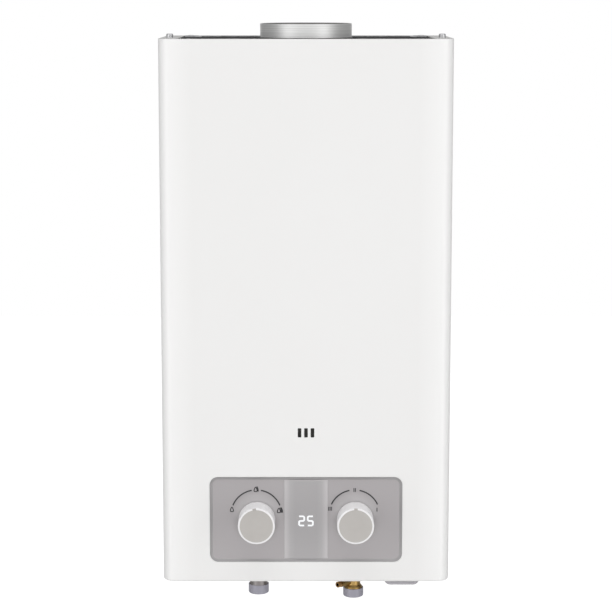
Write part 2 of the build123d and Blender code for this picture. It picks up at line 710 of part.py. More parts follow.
def board_screws():
    screws = []
    rear_y = BOARD_Y + BOARD_T
    for x, z in post_spots():
        shank = bar_y(SCREW_PILOT_D, PANEL_BACK_Y + SCREW_FIT, rear_y, x, z)
        screws.append(shank + bar_y(POST_D, rear_y, rear_y + SMALL_HEAD_H, x, z))
    return group(screws)


# Knobs and spindles


def face_outline(radius, pointer_w, reach):
    """Round face with a pointer tab at the top."""
    return Circle(radius) + Pos(0, reach / 2) * Rectangle(pointer_w, reach) & Circle(reach)


def knob(x, pointer):
    place = Pos(x, KNOB_Z) * Rot(0, 0, pointer)
    body = bar_y(KNOB_D, KNOB_BACK_Y, KNOB_FACE_Y, x, KNOB_Z)
    body = fillet(body.edges().filter_by(GeomType.CIRCLE), KNOB_EDGE_R)
    hollow_end_y = KNOB_FACE_Y + KNOB_WEB
    body -= bar_y(KNOB_D - 2 * KNOB_WALL, KNOB_BACK_Y + PAST, hollow_end_y, x, KNOB_Z)
    body += bar_y(KNOB_HUB_D, KNOB_BACK_Y, hollow_end_y, x, KNOB_Z)
    grip = SPINDLE_GRIP + SPINDLE_FIT
    body -= bar_y(SPINDLE_D + 2 * SPINDLE_FIT, KNOB_BACK_Y + PAST, KNOB_BACK_Y - grip, x, KNOB_Z)
    seat = face_outline(KNOB_D / 2 - KNOB_RING, POINTER_W, KNOB_D / 2)
    body -= front_plate(place * seat, KNOB_FACE_Y + FACE_SINK, KNOB_FACE_Y - PAST)
    groove = place * Pos(0, KNOB_D / 2) * Rectangle(POINTER_W, 2 * POINTER_DEPTH)
    return body - front_plate(groove, KNOB_BACK_Y + PAST, KNOB_FACE_Y - PAST)


def knob_face(x, pointer):
    place = Pos(x, KNOB_Z) * Rot(0, 0, pointer)
    radius = KNOB_D / 2 - KNOB_RING - SPINDLE_FIT
    outline = face_outline(radius, POINTER_W - 2 * SPINDLE_FIT, KNOB_D / 2 - POINTER_DEPTH)
    disc = front_plate(place * Circle(radius), KNOB_FACE_Y + FACE_SINK, KNOB_FACE_Y - FACE_PROUD)
    tab = front_plate(place * outline, KNOB_FACE_Y + FACE_SINK, KNOB_FACE_Y + KNOB_EDGE_R)
    return disc + tab


def spindle(x, has_top_port):
    """Spindle with a hollow rotor: the flow comes in below and leaves at the rear or the top."""
    turned = bar_y(ROTOR_D, ROTOR_FRONT_Y, ROTOR_REAR_Y, x, KNOB_Z)
    turned += bar_y(SPINDLE_D, ROTOR_FRONT_Y, KNOB_BACK_Y - SPINDLE_GRIP, x, KNOB_Z)
    turned -= bar_y(PORT_D, ROTOR_REAR_Y + PAST, MANIFOLD_Y, x, KNOB_Z)
    turned -= bar_z(PORT_D, KNOB_Z - ROTOR_D, KNOB_Z, x, INLET_Y)
    if has_top_port:
        turned -= bar_z(PORT_D, KNOB_Z, KNOB_Z + ROTOR_D, x, MANIFOLD_Y)
    return turned


def spindle_bonnets():
    bonnets = []
    for x in (-KNOB_X, KNOB_X):
        front_y = VALVE_FRONT_Y - BONNET_T
        ring = bar_y(BONNET_D, VALVE_FRONT_Y, front_y, x, KNOB_Z)
        ring -= bar_y(SPINDLE_D + 2 * RUN_FIT, VALVE_FRONT_Y + PAST, front_y - PAST, x, KNOB_Z)
        bonnets.append(ring)
    return group(bonnets)


# Gas and water valves


def valve_block(x):
    """Cast block with the rotor's bore and the passage from its inlet."""
    side = VALVE_W / 2
    body = block(x - side, x + side, VALVE_FRONT_Y, VALVE_REAR_Y, VALVE_FLOOR_Z, VALVE_TOP_Z)
    body = fillet(body.edges(), VALVE_EDGE_R)
    bore_end_y = ROTOR_REAR_Y + ROTOR_END_GAP
    body -= bar_y(ROTOR_D + 2 * RUN_FIT, VALVE_FRONT_Y - PAST, bore_end_y, x, KNOB_Z)
    return body - bar_z(PORT_D, VALVE_FLOOR_Z - PAST, KNOB_Z, x, INLET_Y)


def gas_valve_body():
    body = valve_block(-KNOB_X)
    body -= bar_z(PORT_D, KNOB_Z, VALVE_TOP_Z + PAST, -KNOB_X, MANIFOLD_Y)
    guide_end_x = GAS_SIDE_X - ROD_ENTRY - ROD_TRAVEL - ROTOR_END_GAP / 2
    return body - bar_x(ROD_D + 2 * RUN_FIT, GAS_SIDE_X + PAST, guide_end_x, ROD_Y, KNOB_Z)


def gas_solenoid():
    neck_x = -KNOB_X - VALVE_W / 2
    coil_x = neck_x - SOLENOID_NECK_L
    coil = bar_x(SOLENOID_D, coil_x, coil_x - SOLENOID_L, ROD_Y, KNOB_Z)
    coil = fillet(coil.edges().filter_by(GeomType.CIRCLE), VALVE_EDGE_R)
    return coil + bar_x(SOLENOID_NECK_D, neck_x, coil_x - VALVE_EDGE_R, ROD_Y, KNOB_Z)


def water_valve_body():
    body = valve_block(KNOB_X)
    body -= bar_y(PORT_D, ROTOR_REAR_Y, VALVE_REAR_Y + PAST, KNOB_X, KNOB_Z)
    seat_x = WATER_SIDE_X + VALVE_EDGE_R
    body += bar_x(DIAPHRAGM_D, DIAPHRAGM_X, seat_x, ROD_Y, KNOB_Z)
    body -= bar_x(HOUSING_BORE_D, DIAPHRAGM_X - PAST, DIAPHRAGM_X + HOUSING_CAVITY, ROD_Y, KNOB_Z)
    return body - diaphragm_screw_holes()


def diaphragm_screw_spots():
    ring = (DIAPHRAGM_D + HOUSING_BORE_D) / 4
    spots = []
    for i in range(DIAPHRAGM_SCREWS):
        arm = Vector(0, ring, 0).rotate(Axis.X, 360 * i / DIAPHRAGM_SCREWS)
        spots.append((ROD_Y + arm.Y, KNOB_Z + arm.Z))
    return spots


def diaphragm_screw_holes():
    holes = Part()
    hole = SMALL_SCREW_D + 2 * SCREW_FIT
    for y, z in diaphragm_screw_spots():
        holes += bar_x(hole, COVER_CAP_END_X - PAST, DIAPHRAGM_X + HOUSING_CAVITY, y, z)
    return holes


def diaphragm():
    return bar_x(DIAPHRAGM_D, COVER_CAP_X, DIAPHRAGM_X, ROD_Y, KNOB_Z) - diaphragm_screw_holes()


def diaphragm_cover():
    cap = bar_x(DIAPHRAGM_D, COVER_CAP_END_X, COVER_CAP_X, ROD_Y, KNOB_Z)
    cap -= bar_x(HOUSING_BORE_D, COVER_CAP_END_X + COVER_CAP_WALL, COVER_CAP_X + PAST, ROD_Y, KNOB_Z)
    cap -= bar_x(ROD_D + 2 * RUN_FIT, COVER_CAP_END_X - PAST, COVER_CAP_X, ROD_Y, KNOB_Z)
    return cap - diaphragm_screw_holes()


def diaphragm_screws():
    screws = []
    head_x = COVER_CAP_END_X - SMALL_HEAD_H
    for y, z in diaphragm_screw_spots():
        shank = bar_x(SMALL_SCREW_D, COVER_CAP_END_X, DIAPHRAGM_X + HOUSING_CAVITY - SCREW_FIT, y, z)
        screws.append(shank + bar_x(SMALL_HEAD_D, head_x, COVER_CAP_END_X, y, z))
    return group(screws)


def push_rod():
    head_x = COVER_CAP_X - ROD_HEAD_GAP
    rod = bar_x(ROD_HEAD_D, head_x - ROD_HEAD_T, head_x, ROD_Y, KNOB_Z)
    rod += bar_x(ROD_D, GAS_SIDE_X - ROD_ENTRY, head_x, ROD_Y, KNOB_Z)
    return rod + bar_x(ROD_COLLAR_D, ROD_COLLAR_X - ROD_COLLAR_T, ROD_COLLAR_X, ROD_Y, KNOB_Z)


def microswitch():
    side = SWITCH_W / 2
    switch_x = COVER_CAP_END_X - SWITCH_L
    floor_z = SWITCH_TOP_Z - SWITCH_H
    body = block(switch_x, COVER_CAP_END_X, ROD_Y - side, ROD_Y + side, floor_z, SWITCH_TOP_Z)
    body = fillet(body.edges().filter_by(Axis.X), EAR_T)
    ear_top_z = PIVOT_Z + PIVOT_PIN_D
    for y in (ROD_Y - side, ROD_Y + side - EAR_T):
        body += block(LEVER_X - LEVER_HUB_D / 2, LEVER_X + LEVER_HUB_D / 2, y, y + EAR_T,
                      SWITCH_TOP_Z - EAR_T, ear_top_z)
    return body - bar_y(PIVOT_PIN_D + 2 * RUN_FIT, ROD_Y - side - PAST, ROD_Y + side + PAST, LEVER_X, PIVOT_Z)


def microswitch_lever():
    lever = bar_y(LEVER_HUB_D, ROD_Y - LEVER_W / 2, ROD_Y + LEVER_W / 2, LEVER_X, PIVOT_Z)
    lever += bar_y(PIVOT_PIN_D, ROD_Y - SWITCH_W / 2, ROD_Y + SWITCH_W / 2, LEVER_X, PIVOT_Z)
    tip_z = KNOB_Z - ROD_COLLAR_D / 2 + LEVER_REACH
    return lever + block(LEVER_X - LEVER_T / 2, LEVER_X + LEVER_T / 2, ROD_Y - LEVER_W / 2,
                         ROD_Y + LEVER_W / 2, PIVOT_Z, tip_z)


# Fittings under the case


def fitting(x, y, z_top, z_end, neck_z, neck_d, bore):
    """Tail with a hexagon head, a thread for the lock nuts, a neck, and the thread that a pipe screws on."""
    tail = bar_z(THREAD_D, z_end, neck_z, x, y)
    tail = chamfer(tail.edges().group_by(Axis.Z)[0], FITTING_CHAMFER)
    tail += bar_z(neck_d, neck_z, NUT_FLOOR_Z, x, y)
    tail += bar_z(THREAD_D, NUT_FLOOR_Z, z_top, x, y)
    tail += hexagon(FITTING_AF, (x, y, z_top - FITTING_HEAD), (x, y, z_top))
    return tail - bar_z(bore, z_end - PAST, z_top + PAST, x, y)


def gas_inlet_fitting():
    return fitting(-KNOB_X, INLET_Y, VALVE_FLOOR_Z, GAS_END_Z, GAS_RIM_Z - CAP_RIM_GAP, NECK_D, NECK_BORE_D)


def cold_inlet_fitting():
    neck_z = COLD_RIM_Z - CAP_RIM_GAP
    tail = fitting(KNOB_X, INLET_Y, VALVE_FLOOR_Z, COLD_END_Z, neck_z, NECK_D, NECK_BORE_D)
    seat = FILTER_D + 2 * FILTER_PLAY
    return tail - bar_z(seat, COLD_END_Z - PAST, COLD_END_Z + FILTER_L + FILTER_PLAY, KNOB_X, INLET_Y)


def hot_outlet_fitting():
    neck_d = THREAD_D - 2 * RELIEF_DEPTH
    return fitting(HOT_X, HOT_Y, HOT_TOP_Z, HOT_END_Z, NUT_FLOOR_Z - RELIEF_W, neck_d, FITTING_BORE_D)


def cap(x, z_end, length):
    """Cup pushed over a thread's end."""
    outer = THREAD_D + 2 * (CAP_PLAY + CAP_WALL)
    cup = bar_z(outer, z_end - CAP_END, z_end - CAP_END + length, x, INLET_Y)
    cup = fillet(cup.edges().group_by(Axis.Z)[0], CAP_EDGE_R)
    return cup - bar_z(THREAD_D + 2 * CAP_PLAY, z_end, z_end + length + PAST, x, INLET_Y)


def lock_nuts():
    nuts = []
    for x, y in FITTING_SPOTS:
        for z in (PLATE_TOP_Z, NUT_FLOOR_Z):
            nut = hexagon(NUT_AF, (x, y, z), (x, y, z + NUT_T))
            blank = bar_z(NUT_AF + 2 * NUT_CHAMFER, z, z + NUT_T, x, y)
            nut &= chamfer(blank.edges().filter_by(GeomType.CIRCLE), NUT_CHAMFER)
            nuts.append(nut - bar_z(THREAD_D + 2 * NUT_PLAY, z - PAST, z + NUT_T + PAST, x, y))
    return group(nuts)


def inlet_filter():
    """Shallow strainer cup with a slotted top, seated in the cold fitting's end."""
    top_z = COLD_END_Z + FILTER_L
    cup = bar_z(FILTER_D, COLD_END_Z, top_z, KNOB_X, INLET_Y)
    inside = FILTER_D - 2 * FILTER_WALL
    cup -= bar_z(inside, COLD_END_Z - PAST, top_z - FILTER_WALL, KNOB_X, INLET_Y)
    for i in range(FILTER_SLOTS):
        offset = (i - (FILTER_SLOTS - 1) / 2) * FILTER_PITCH
        slot_l = 2 * ((inside / 2) ** 2 - offset ** 2) ** 0.5 - FILTER_PITCH
        cup -= Pos(KNOB_X + offset, INLET_Y, top_z) * Box(FILTER_SLOT_W, slot_l, 2 * FILTER_WALL + PAST)
    return cup


def drain_point(distance):
    """Point on the drain's axis, at a distance from the cold inlet's axis."""
    return Vector(KNOB_X, INLET_Y, DRAIN_Z) + DRAIN_AXIS * distance


def drain_bar(diameter, near, far):
    return bar(diameter, drain_point(near), drain_point(far))


def drain_valve_body():
    z0 = DRAIN_Z - DRAIN_RING_H / 2
    inner = NECK_D + 2 * NUT_PLAY
    ring = bar_z(inner + 2 * DRAIN_WALL, z0, z0 + DRAIN_RING_H, KNOB_X, INLET_Y)
    ring = chamfer(ring.edges().filter_by(GeomType.CIRCLE), FITTING_CHAMFER)
    ring += drain_bar(DRAIN_TUBE_D, inner / 2, DRAIN_TUBE_END)
    ring -= bar_z(inner, z0 - PAST, z0 + DRAIN_RING_H + PAST, KNOB_X, INLET_Y)
    return ring - drain_bar(DRAIN_SCREW_D + 2 * RUN_FIT, NECK_D / 2, DRAIN_TUBE_END + PAST)


def drain_screw():
    head_start = DRAIN_TUBE_END + DRAIN_HEAD_GAP
    head_end = head_start + DRAIN_HEAD_L
    screw = drain_bar(DRAIN_HEAD_D, head_start, head_end)
    screw += drain_bar(DRAIN_SCREW_D, DRAIN_TUBE_END - DRAIN_SHANK_L, head_start)
    socket_end = drain_point(head_end - DRAIN_SOCKET_L)
    return screw - hexagon(DRAIN_SOCKET_AF, socket_end, drain_point(head_end + PAST))


# Burner


def burner_frame():
    """Side plates under the chamber's sides, two rails and the strip that holds the electrodes."""
    rail_z = BLADE_Z - RAIL_H
    inner_x = CHAMBER_X - SHEET_COPPER
    frame = Part()
    for x in (-CHAMBER_X, inner_x):
        frame += block(x, x + SHEET_COPPER, CHAMBER_FRONT_Y, -PLATE, rail_z, CHAMBER_Z)
    for y in (BLADE_FRONT_Y + RAIL_INSET, BLADE_REAR_Y - RAIL_INSET - RAIL_D):
        frame += block(-inner_x, inner_x, y, y + RAIL_D, rail_z, BLADE_Z)
    strip_rear_y = CHAMBER_FRONT_Y + SHEET_COPPER
    frame += block(-inner_x, inner_x, CHAMBER_FRONT_Y, strip_rear_y, CHAMBER_Z - STRIP_H, CHAMBER_Z)
    for x in (-ELECTRODE_X, ELECTRODE_X):
        hole = INSULATOR_D + 2 * SCREW_FIT
        frame -= bar_y(hole, CHAMBER_FRONT_Y - PAST, strip_rear_y + PAST, x, ELECTRODE_Z)
    return frame


def burner_blades():
    blades = []
    for x in BLADE_XS:
        blade = block(x - BLADE_T / 2, x + BLADE_T / 2, BLADE_FRONT_Y, BLADE_REAR_Y, BLADE_Z, BLADE_TOP_Z)
        blade = fillet(blade.edges().filter_by(Axis.Y).group_by(Axis.Z)[-1], BLADE_R)
        mouth = bar_y(BLADE_MOUTH_D, BLADE_FRONT_Y - PAST, BLADE_FRONT_Y + BLADE_MOUTH_L, x, JET_Z)
        blades.append(blade - mouth)
    return group(blades)


def gas_manifold():
    rail = Pos(0, MANIFOLD_Y, JET_Z) * Box(2 * MANIFOLD_X, MANIFOLD_D, MANIFOLD_H)
    rail += bar_z(MANIFOLD_D, VALVE_TOP_Z, JET_Z, -KNOB_X, MANIFOLD_Y)
    bore_x = MANIFOLD_X - (MANIFOLD_D - MANIFOLD_BORE_D) / 2
    rail -= bar_x(MANIFOLD_BORE_D, -bore_x, bore_x, MANIFOLD_Y, JET_Z)
    rail -= bar_z(MANIFOLD_BORE_D, VALVE_TOP_Z - PAST, JET_Z, -KNOB_X, MANIFOLD_Y)
    for x in BLADE_XS:
        rail -= bar_y(JET_BORE_D, MANIFOLD_Y, MANIFOLD_REAR_Y + PAST, x, JET_Z)
    return rail


def gas_jets():
    jets = []
    for x in BLADE_XS:
        jet = hexagon(JET_D, (x, MANIFOLD_REAR_Y, JET_Z), (x, JET_Y, JET_Z))
        jets.append(jet - bar_y(JET_BORE_D, MANIFOLD_REAR_Y - PAST, JET_Y + PAST, x, JET_Z))
    return group(jets)


def electrode_insulators():
    insulators = []
    for x in (-ELECTRODE_X, ELECTRODE_X):
        rear_y = CHAMBER_FRONT_Y + INSULATOR_IN
        rod = bar_y(INSULATOR_D, CHAMBER_FRONT_Y - INSULATOR_OUT, rear_y, x, ELECTRODE_Z)
        rod += bar_y(SHOULDER_D, CHAMBER_FRONT_Y - SHOULDER_T, CHAMBER_FRONT_Y, x, ELECTRODE_Z)
        bore = ELECTRODE_D + 2 * RUN_FIT
        rod -= bar_y(bore, CHAMBER_FRONT_Y - ELECTRODE_OUT, CHAMBER_FRONT_Y + ELECTRODE_IN, x, ELECTRODE_Z)
        insulators.append(rod)
    return group(insulators)


def ignition_electrodes():
    """Wires through the insulators with their tips bent down towards the burner."""
    wires = []
    tip_y = CHAMBER_FRONT_Y + ELECTRODE_IN
    for x in (-ELECTRODE_X, ELECTRODE_X):
        route = [(x, ELECTRODE_END_Y, ELECTRODE_Z), (x, tip_y, ELECTRODE_Z)]
        route.append((x, tip_y + ELECTRODE_TIP, ELECTRODE_Z - ELECTRODE_TIP))
        wires.append(pipe(route, ELECTRODE_BEND, ELECTRODE_D, 0))
    return group(wires)


# Heat exchanger, pipes and flue


def tube_holes(diameter, x0, x1):
    holes = Part()
    for y in TUBE_YS:
        holes += bar_x(diameter, x0, x1, y, TUBE_Z)
    return holes


def combustion_chamber():
    outer = block(-CHAMBER_X, CHAMBER_X, CHAMBER_FRONT_Y, CHAMBER_REAR_Y, CHAMBER_Z, CHAMBER_TOP_Z)
    inner_x = CHAMBER_X - SHEET_COPPER
    inner = block(-inner_x, inner_x, CHAMBER_FRONT_Y + SHEET_COPPER, CHAMBER_REAR_Y - SHEET_COPPER,
                  CHAMBER_Z - PAST, CHAMBER_TOP_Z + PAST)
    reach = CHAMBER_X + PAST
    return outer - inner - tube_holes(PIPE_D + 2 * TUBE_FIT, -reach, reach)


def exchanger_fins():
    room = CHAMBER_X - SHEET_COPPER - FIN_SIDE_GAP
    count = 2 * int(room / FIN_PITCH) + 1
    depth = CHAMBER_D - 2 * (SHEET_COPPER + COVER_PLAY)
    fin = Pos(0, FLUE_Y, TUBE_Z) * Box(FIN_T, depth, FIN_H)
    fin -= tube_holes(PIPE_D + 2 * FIN_FIT, -PAST, PAST)
    return group([Pos((i - count // 2) * FIN_PITCH, 0, 0) * fin for i in range(count)])


def exchanger_tube():
    """One tube that crosses the chamber in level runs, with return bends outside its walls."""
    bend = TUBE_PITCH / 2 - TUBE_FIT
    turn_x = CHAMBER_X + TUBE_OUT + TUBE_PITCH / 2
    points = [(TUBE_END_X, TUBE_YS[0], TUBE_Z)]
    side = -1
    for y, next_y in zip(TUBE_YS, TUBE_YS[1:]):
        points += [(side * turn_x, y, TUBE_Z), (side * turn_x, next_y, TUBE_Z)]
        side = -side
    points.append((-TUBE_END_X, TUBE_YS[-1], TUBE_Z))
    return pipe(points, bend)


def riser_pipe():
    """Cold water from the water valve, once round the chamber and up to the exchanger tube."""
    back_y = CHAMBER_REAR_Y + WRAP_OFFSET
    front_y = CHAMBER_FRONT_Y - WRAP_OFFSET
    left_x = -CHAMBER_X - WRAP_OFFSET
    wrap_z = CHAMBER_Z + WRAP_RISE
    points = [
        (KNOB_X, VALVE_REAR_Y, KNOB_Z),
        (KNOB_X, back_y, KNOB_Z),
        (RISER_X, back_y, KNOB_Z),
        (RISER_X, back_y, wrap_z),
        (left_x, back_y, wrap_z + WRAP_STEP),
        (left_x, front_y, wrap_z + 2 * WRAP_STEP),
        (RISER_X, front_y, wrap_z + 3 * WRAP_STEP),
        (RISER_X, front_y, TUBE_Z),
        (RISER_X, TUBE_YS[0], TUBE_Z),
        (TUBE_END_X, TUBE_YS[0], TUBE_Z),
    ]
    return pipe(points, PIPE_BEND)


def hot_pipe():
    points = [(-TUBE_END_X, HOT_Y, TUBE_Z), (HOT_X, HOT_Y, TUBE_Z), (HOT_X, HOT_Y, HOT_TOP_Z)]
    return pipe(points, PIPE_BEND)


def pipe_unions():
    """Sleeves over the two places where the pipes meet the exchanger tube."""
    unions = []
    for side, y in ((1, TUBE_YS[0]), (-1, TUBE_YS[-1])):
        near = side * (TUBE_END_X - UNION_L / 2)
        far = side * (RISER_X - PIPE_BEND)
        sleeve = bar_x(PIPE_D + 2 * UNION_WALL, near, far, y, TUBE_Z)
        unions.append(sleeve - bar_x(PIPE_D + 2 * TUBE_FIT, near, far, y, TUBE_Z))
    return group(unions)


def overheat_switch():
    z = CHAMBER_Z + OVERHEAT_RISE
    front_y = CHAMBER_FRONT_Y - OVERHEAT_T
    disc = bar_y(OVERHEAT_D, CHAMBER_FRONT_Y, front_y, OVERHEAT_X, z)
    for x in (-TAB_PITCH / 2, TAB_PITCH / 2):
        disc += Pos(OVERHEAT_X + x, front_y, z) * Box(TAB_T, 2 * TAB_L, TAB_W)
    return disc


def flue_hood():
    """Tapering hood that gathers the flue gas, with a flat top for the collar."""
    top_w = FLUE_D + 2 * (FLUE_FOOT + HOOD_MARGIN)

    def shape(inset, z_top):
        base = Pos(0, FLUE_Y, CHAMBER_TOP_Z) * Rectangle(2 * (CHAMBER_X - inset), CHAMBER_D - 2 * inset)
        top = Pos(0, FLUE_Y, z_top) * Rectangle(top_w - 2 * inset, top_w - 2 * inset)
        return loft([base, top])

    hood = shape(0, HOOD_TOP_Z) - shape(SHEET_COPPER, HOOD_TOP_Z - SHEET_COPPER)
    return hood - bar_z(FLUE_D - 2 * FLUE_WALL, HOOD_TOP_Z - PAST, HOOD_TOP_Z + PAST, 0, FLUE_Y)


def flue_collar():
    collar = bar_z(FLUE_D, HOOD_TOP_Z, FLUE_TOP_Z, 0, FLUE_Y)
    collar += bar_z(FLUE_D + 2 * FLUE_FOOT, HOOD_TOP_Z, HOOD_TOP_Z + FLUE_FOOT_T, 0, FLUE_Y)
    return collar - bar_z(FLUE_D - 2 * FLUE_WALL, HOOD_TOP_Z - PAST, FLUE_TOP_Z + PAST, 0, FLUE_Y)


# Batteries


def square_tube(side, radius, z0, z1):
    """Upright square bar with rounded corners on the cells' axis."""
    return Pos(BATTERY_X, BATTERY_Y, z0) * extrude(RectangleRounded(side, side, radius), z1 - z0)


def hinge_ears():
    """Left and right ends of the two ears on the box."""
    left = BATTERY_X - HINGE_EAR_X
    right = BATTERY_X + HINGE_EAR_X
    return [(left, left + HINGE_EAR_W), (right - HINGE_EAR_W, right)]


def battery_box():
    inside = BATTERY_W - 2 * BATTERY_WALL
    box = square_tube(BATTERY_W, BATTERY_R, BATTERY_Z, BATTERY_CEILING_Z + BATTERY_WALL)
    border = BATTERY_W + 2 * BATTERY_FLANGE
    box += square_tube(border, BATTERY_R + BATTERY_FLANGE, PLATE_TOP_Z, PLATE_TOP_Z + BATTERY_FLANGE_T)
    half = HINGE_D / 2
    for x0, x1 in hinge_ears():
        box += bar_x(HINGE_D, x0, x1, HINGE_Y, HINGE_Z)
        box += block(x0, x1, BATTERY_REAR_Y - BATTERY_WALL / 2, HINGE_Y + half, BATTERY_Z, HINGE_Z + HINGE_D)
    box -= square_tube(inside, BATTERY_R - BATTERY_WALL, BATTERY_Z - PAST, BATTERY_CEILING_Z)
    reach = BATTERY_W / 2
    return box - bar_x(HINGE_PIN_D, BATTERY_X - reach, BATTERY_X + reach, HINGE_Y, HINGE_Z)


def battery_door():
    door = square_tube(BATTERY_W, BATTERY_R, DOOR_TOP_Z - DOOR_T, DOOR_TOP_Z)
    door = fillet(door.edges().group_by(Axis.Z)[0], DOOR_EDGE_R)
    x0 = BATTERY_X - HINGE_EAR_X + HINGE_EAR_W + HINGE_SIDE_GAP
    x1 = BATTERY_X + HINGE_EAR_X - HINGE_EAR_W - HINGE_SIDE_GAP
    door += block(x0, x1, BATTERY_REAR_Y - BATTERY_WALL, HINGE_Y, HINGE_Z - HINGE_D / 2, DOOR_TOP_Z)
    door += bar_x(HINGE_D, x0, x1, HINGE_Y, HINGE_Z)
    return door - bar_x(HINGE_PIN_D + 2 * RUN_FIT, x0 - PAST, x1 + PAST, HINGE_Y, HINGE_Z)


def hinge_pin():
    return bar_x(HINGE_PIN_D, BATTERY_X - HINGE_EAR_X, BATTERY_X + HINGE_EAR_X, HINGE_Y, HINGE_Z)


def battery_cells():
    cells = []
    for i in range(CELL_COUNT):
        z = CELL_Z + i * CELL_L
        can = bar_z(CELL_D, z, z + CELL_L - CELL_NUB_L, BATTERY_X, BATTERY_Y)
        can = fillet(can.edges().filter_by(GeomType.CIRCLE), CELL_NUB_L)
        nub = bar_z(CELL_NUB_D, z + CELL_L - 2 * CELL_NUB_L, z + CELL_L, BATTERY_X, BATTERY_Y)
        cells.append(can + nub)
    return group(cells)


def contact(z):
    return Pos(BATTERY_X, BATTERY_Y, z + CONTACT_T / 2) * Box(CONTACT_W, CONTACT_W, CONTACT_T)


def battery_contacts():
    return contact(BATTERY_CEILING_Z - CONTACT_T)


def door_contact():
    spring = bar_z(CELL_NUB_D, DOOR_TOP_Z + CONTACT_T, DOOR_TOP_Z + 2 * CONTACT_T, BATTERY_X, BATTERY_Y)
    return contact(DOOR_TOP_Z) + spring


# Igniter


def tower_spots():
    y = IGNITER_Y - IGNITER_D / 2 + TOWER_INSET
    return [(IGNITER_X + TOWER_PITCH / 2, y), (IGNITER_X - TOWER_PITCH / 2, y)]


def igniter_module():
    half_w = IGNITER_W / 2
    half_d = IGNITER_D / 2
    body = block(IGNITER_X - half_w, IGNITER_X + half_w, IGNITER_Y - half_d, IGNITER_Y + half_d,
                 PLATE_TOP_Z, IGNITER_TOP_Z)
    body = fillet(body.edges().filter_by(Axis.Z), IGNITER_R)
    body = fillet(body.edges().group_by(Axis.Z)[-1], IGNITER_R / 2)
    for x, y in tower_spots():
        body += bar_z(TOWER_D, IGNITER_TOP_Z, IGNITER_TOP_Z + TOWER_H, x, y)
    return body


def ignition_leads():
    """Two leads, in two layers, from the electrodes across and down to the module's towers."""
    leads = []
    for i, (tower_x, tower_y) in enumerate(tower_spots()):
        start_x = (2 * i - 1) * ELECTRODE_X
        layer_y = ELECTRODE_END_Y - LEAD_LAYER - i * LEAD_STEP
        down_x = -MANIFOLD_X - LEAD_SIDE - i * LEAD_STEP
        tower_z = IGNITER_TOP_Z + TOWER_H
        points = [
            (start_x, ELECTRODE_END_Y, ELECTRODE_Z),
            (start_x, layer_y, ELECTRODE_Z),
            (down_x, layer_y, ELECTRODE_Z),
            (down_x, layer_y, ELECTRODE_Z - LEAD_DROP),
            (tower_x, tower_y, tower_z + 3 * LEAD_BEND),
            (tower_x, tower_y, tower_z),
        ]
        leads.append(pipe(points, LEAD_BEND, LEAD_D, 0))
    return group(leads)


PARTS = {
    "front_cover": front_cover(),
    "back_plate": back_plate(),
    "top_plate": top_plate(),
    "bottom_plate": bottom_plate(),
    "cover_screws": cover_screws(),
    "sight_glass": sight_glass(),
    "control_panel": control_panel(),
    "display_window": display_window(),
    "display_digits": display_digits(),
    "display_board": display_board(),
    "board_screws": board_screws(),
    "flame_knob": knob(-KNOB_X, FLAME_POINTER),
    "flame_knob_face": knob_face(-KNOB_X, FLAME_POINTER),
    "flame_spindle": spindle(-KNOB_X, True),
    "water_knob": knob(KNOB_X, WATER_POINTER),
    "water_knob_face": knob_face(KNOB_X, WATER_POINTER),
    "water_spindle": spindle(KNOB_X, False),
    "spindle_bonnets": spindle_bonnets(),
    "gas_valve_body": gas_valve_body(),
    "gas_solenoid": gas_solenoid(),
    "water_valve_body": water_valve_body(),
    "diaphragm": diaphragm(),
    "diaphragm_cover": diaphragm_cover(),
    "diaphragm_screws": diaphragm_screws(),
    "push_rod": push_rod(),
    "microswitch": microswitch(),
    "microswitch_lever": microswitch_lever(),
    "gas_inlet_fitting": gas_inlet_fitting(),
    "cold_inlet_fitting": cold_inlet_fitting(),
    "hot_outlet_fitting": hot_outlet_fitting(),
    "lock_nuts": lock_nuts(),
    "gas_cap": cap(-KNOB_X, GAS_END_Z, GAS_CAP_L),
    "cold_cap": cap(KNOB_X, COLD_END_Z, COLD_CAP_L),
    "inlet_filter": inlet_filter(),
    "drain_valve_body": drain_valve_body(),
    "drain_screw": drain_screw(),
    "burner_frame": burner_frame(),
    "burner_blades": burner_blades(),
    "gas_manifold": gas_manifold(),
    "gas_jets": gas_jets(),
    "electrode_insulators": electrode_insulators(),
    "ignition_electrodes": ignition_electrodes(),
    "combustion_chamber": combustion_chamber(),
    "exchanger_fins": exchanger_fins(),
    "exchanger_tube": exchanger_tube(),
    "riser_pipe": riser_pipe(),
    "hot_pipe": hot_pipe(),
    "pipe_unions": pipe_unions(),
    "overheat_switch": overheat_switch(),
    "flue_hood": flue_hood(),
    "flue_collar": flue_collar(),
    "battery_box": battery_box(),
    "battery_door": battery_door(),
    "hinge_pin": hinge_pin(),
    "battery_cells": battery_cells(),
    "battery_contacts": battery_contacts(),
    "door_contact": door_contact(),
    "igniter_module": igniter_module(),
    "ignition_leads": ignition_leads(),
}

os.makedirs("parts", exist_ok=True)
for name, solid in PARTS.items():
    export_step(solid, f"parts/{name}.step")
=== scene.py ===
import json
import math

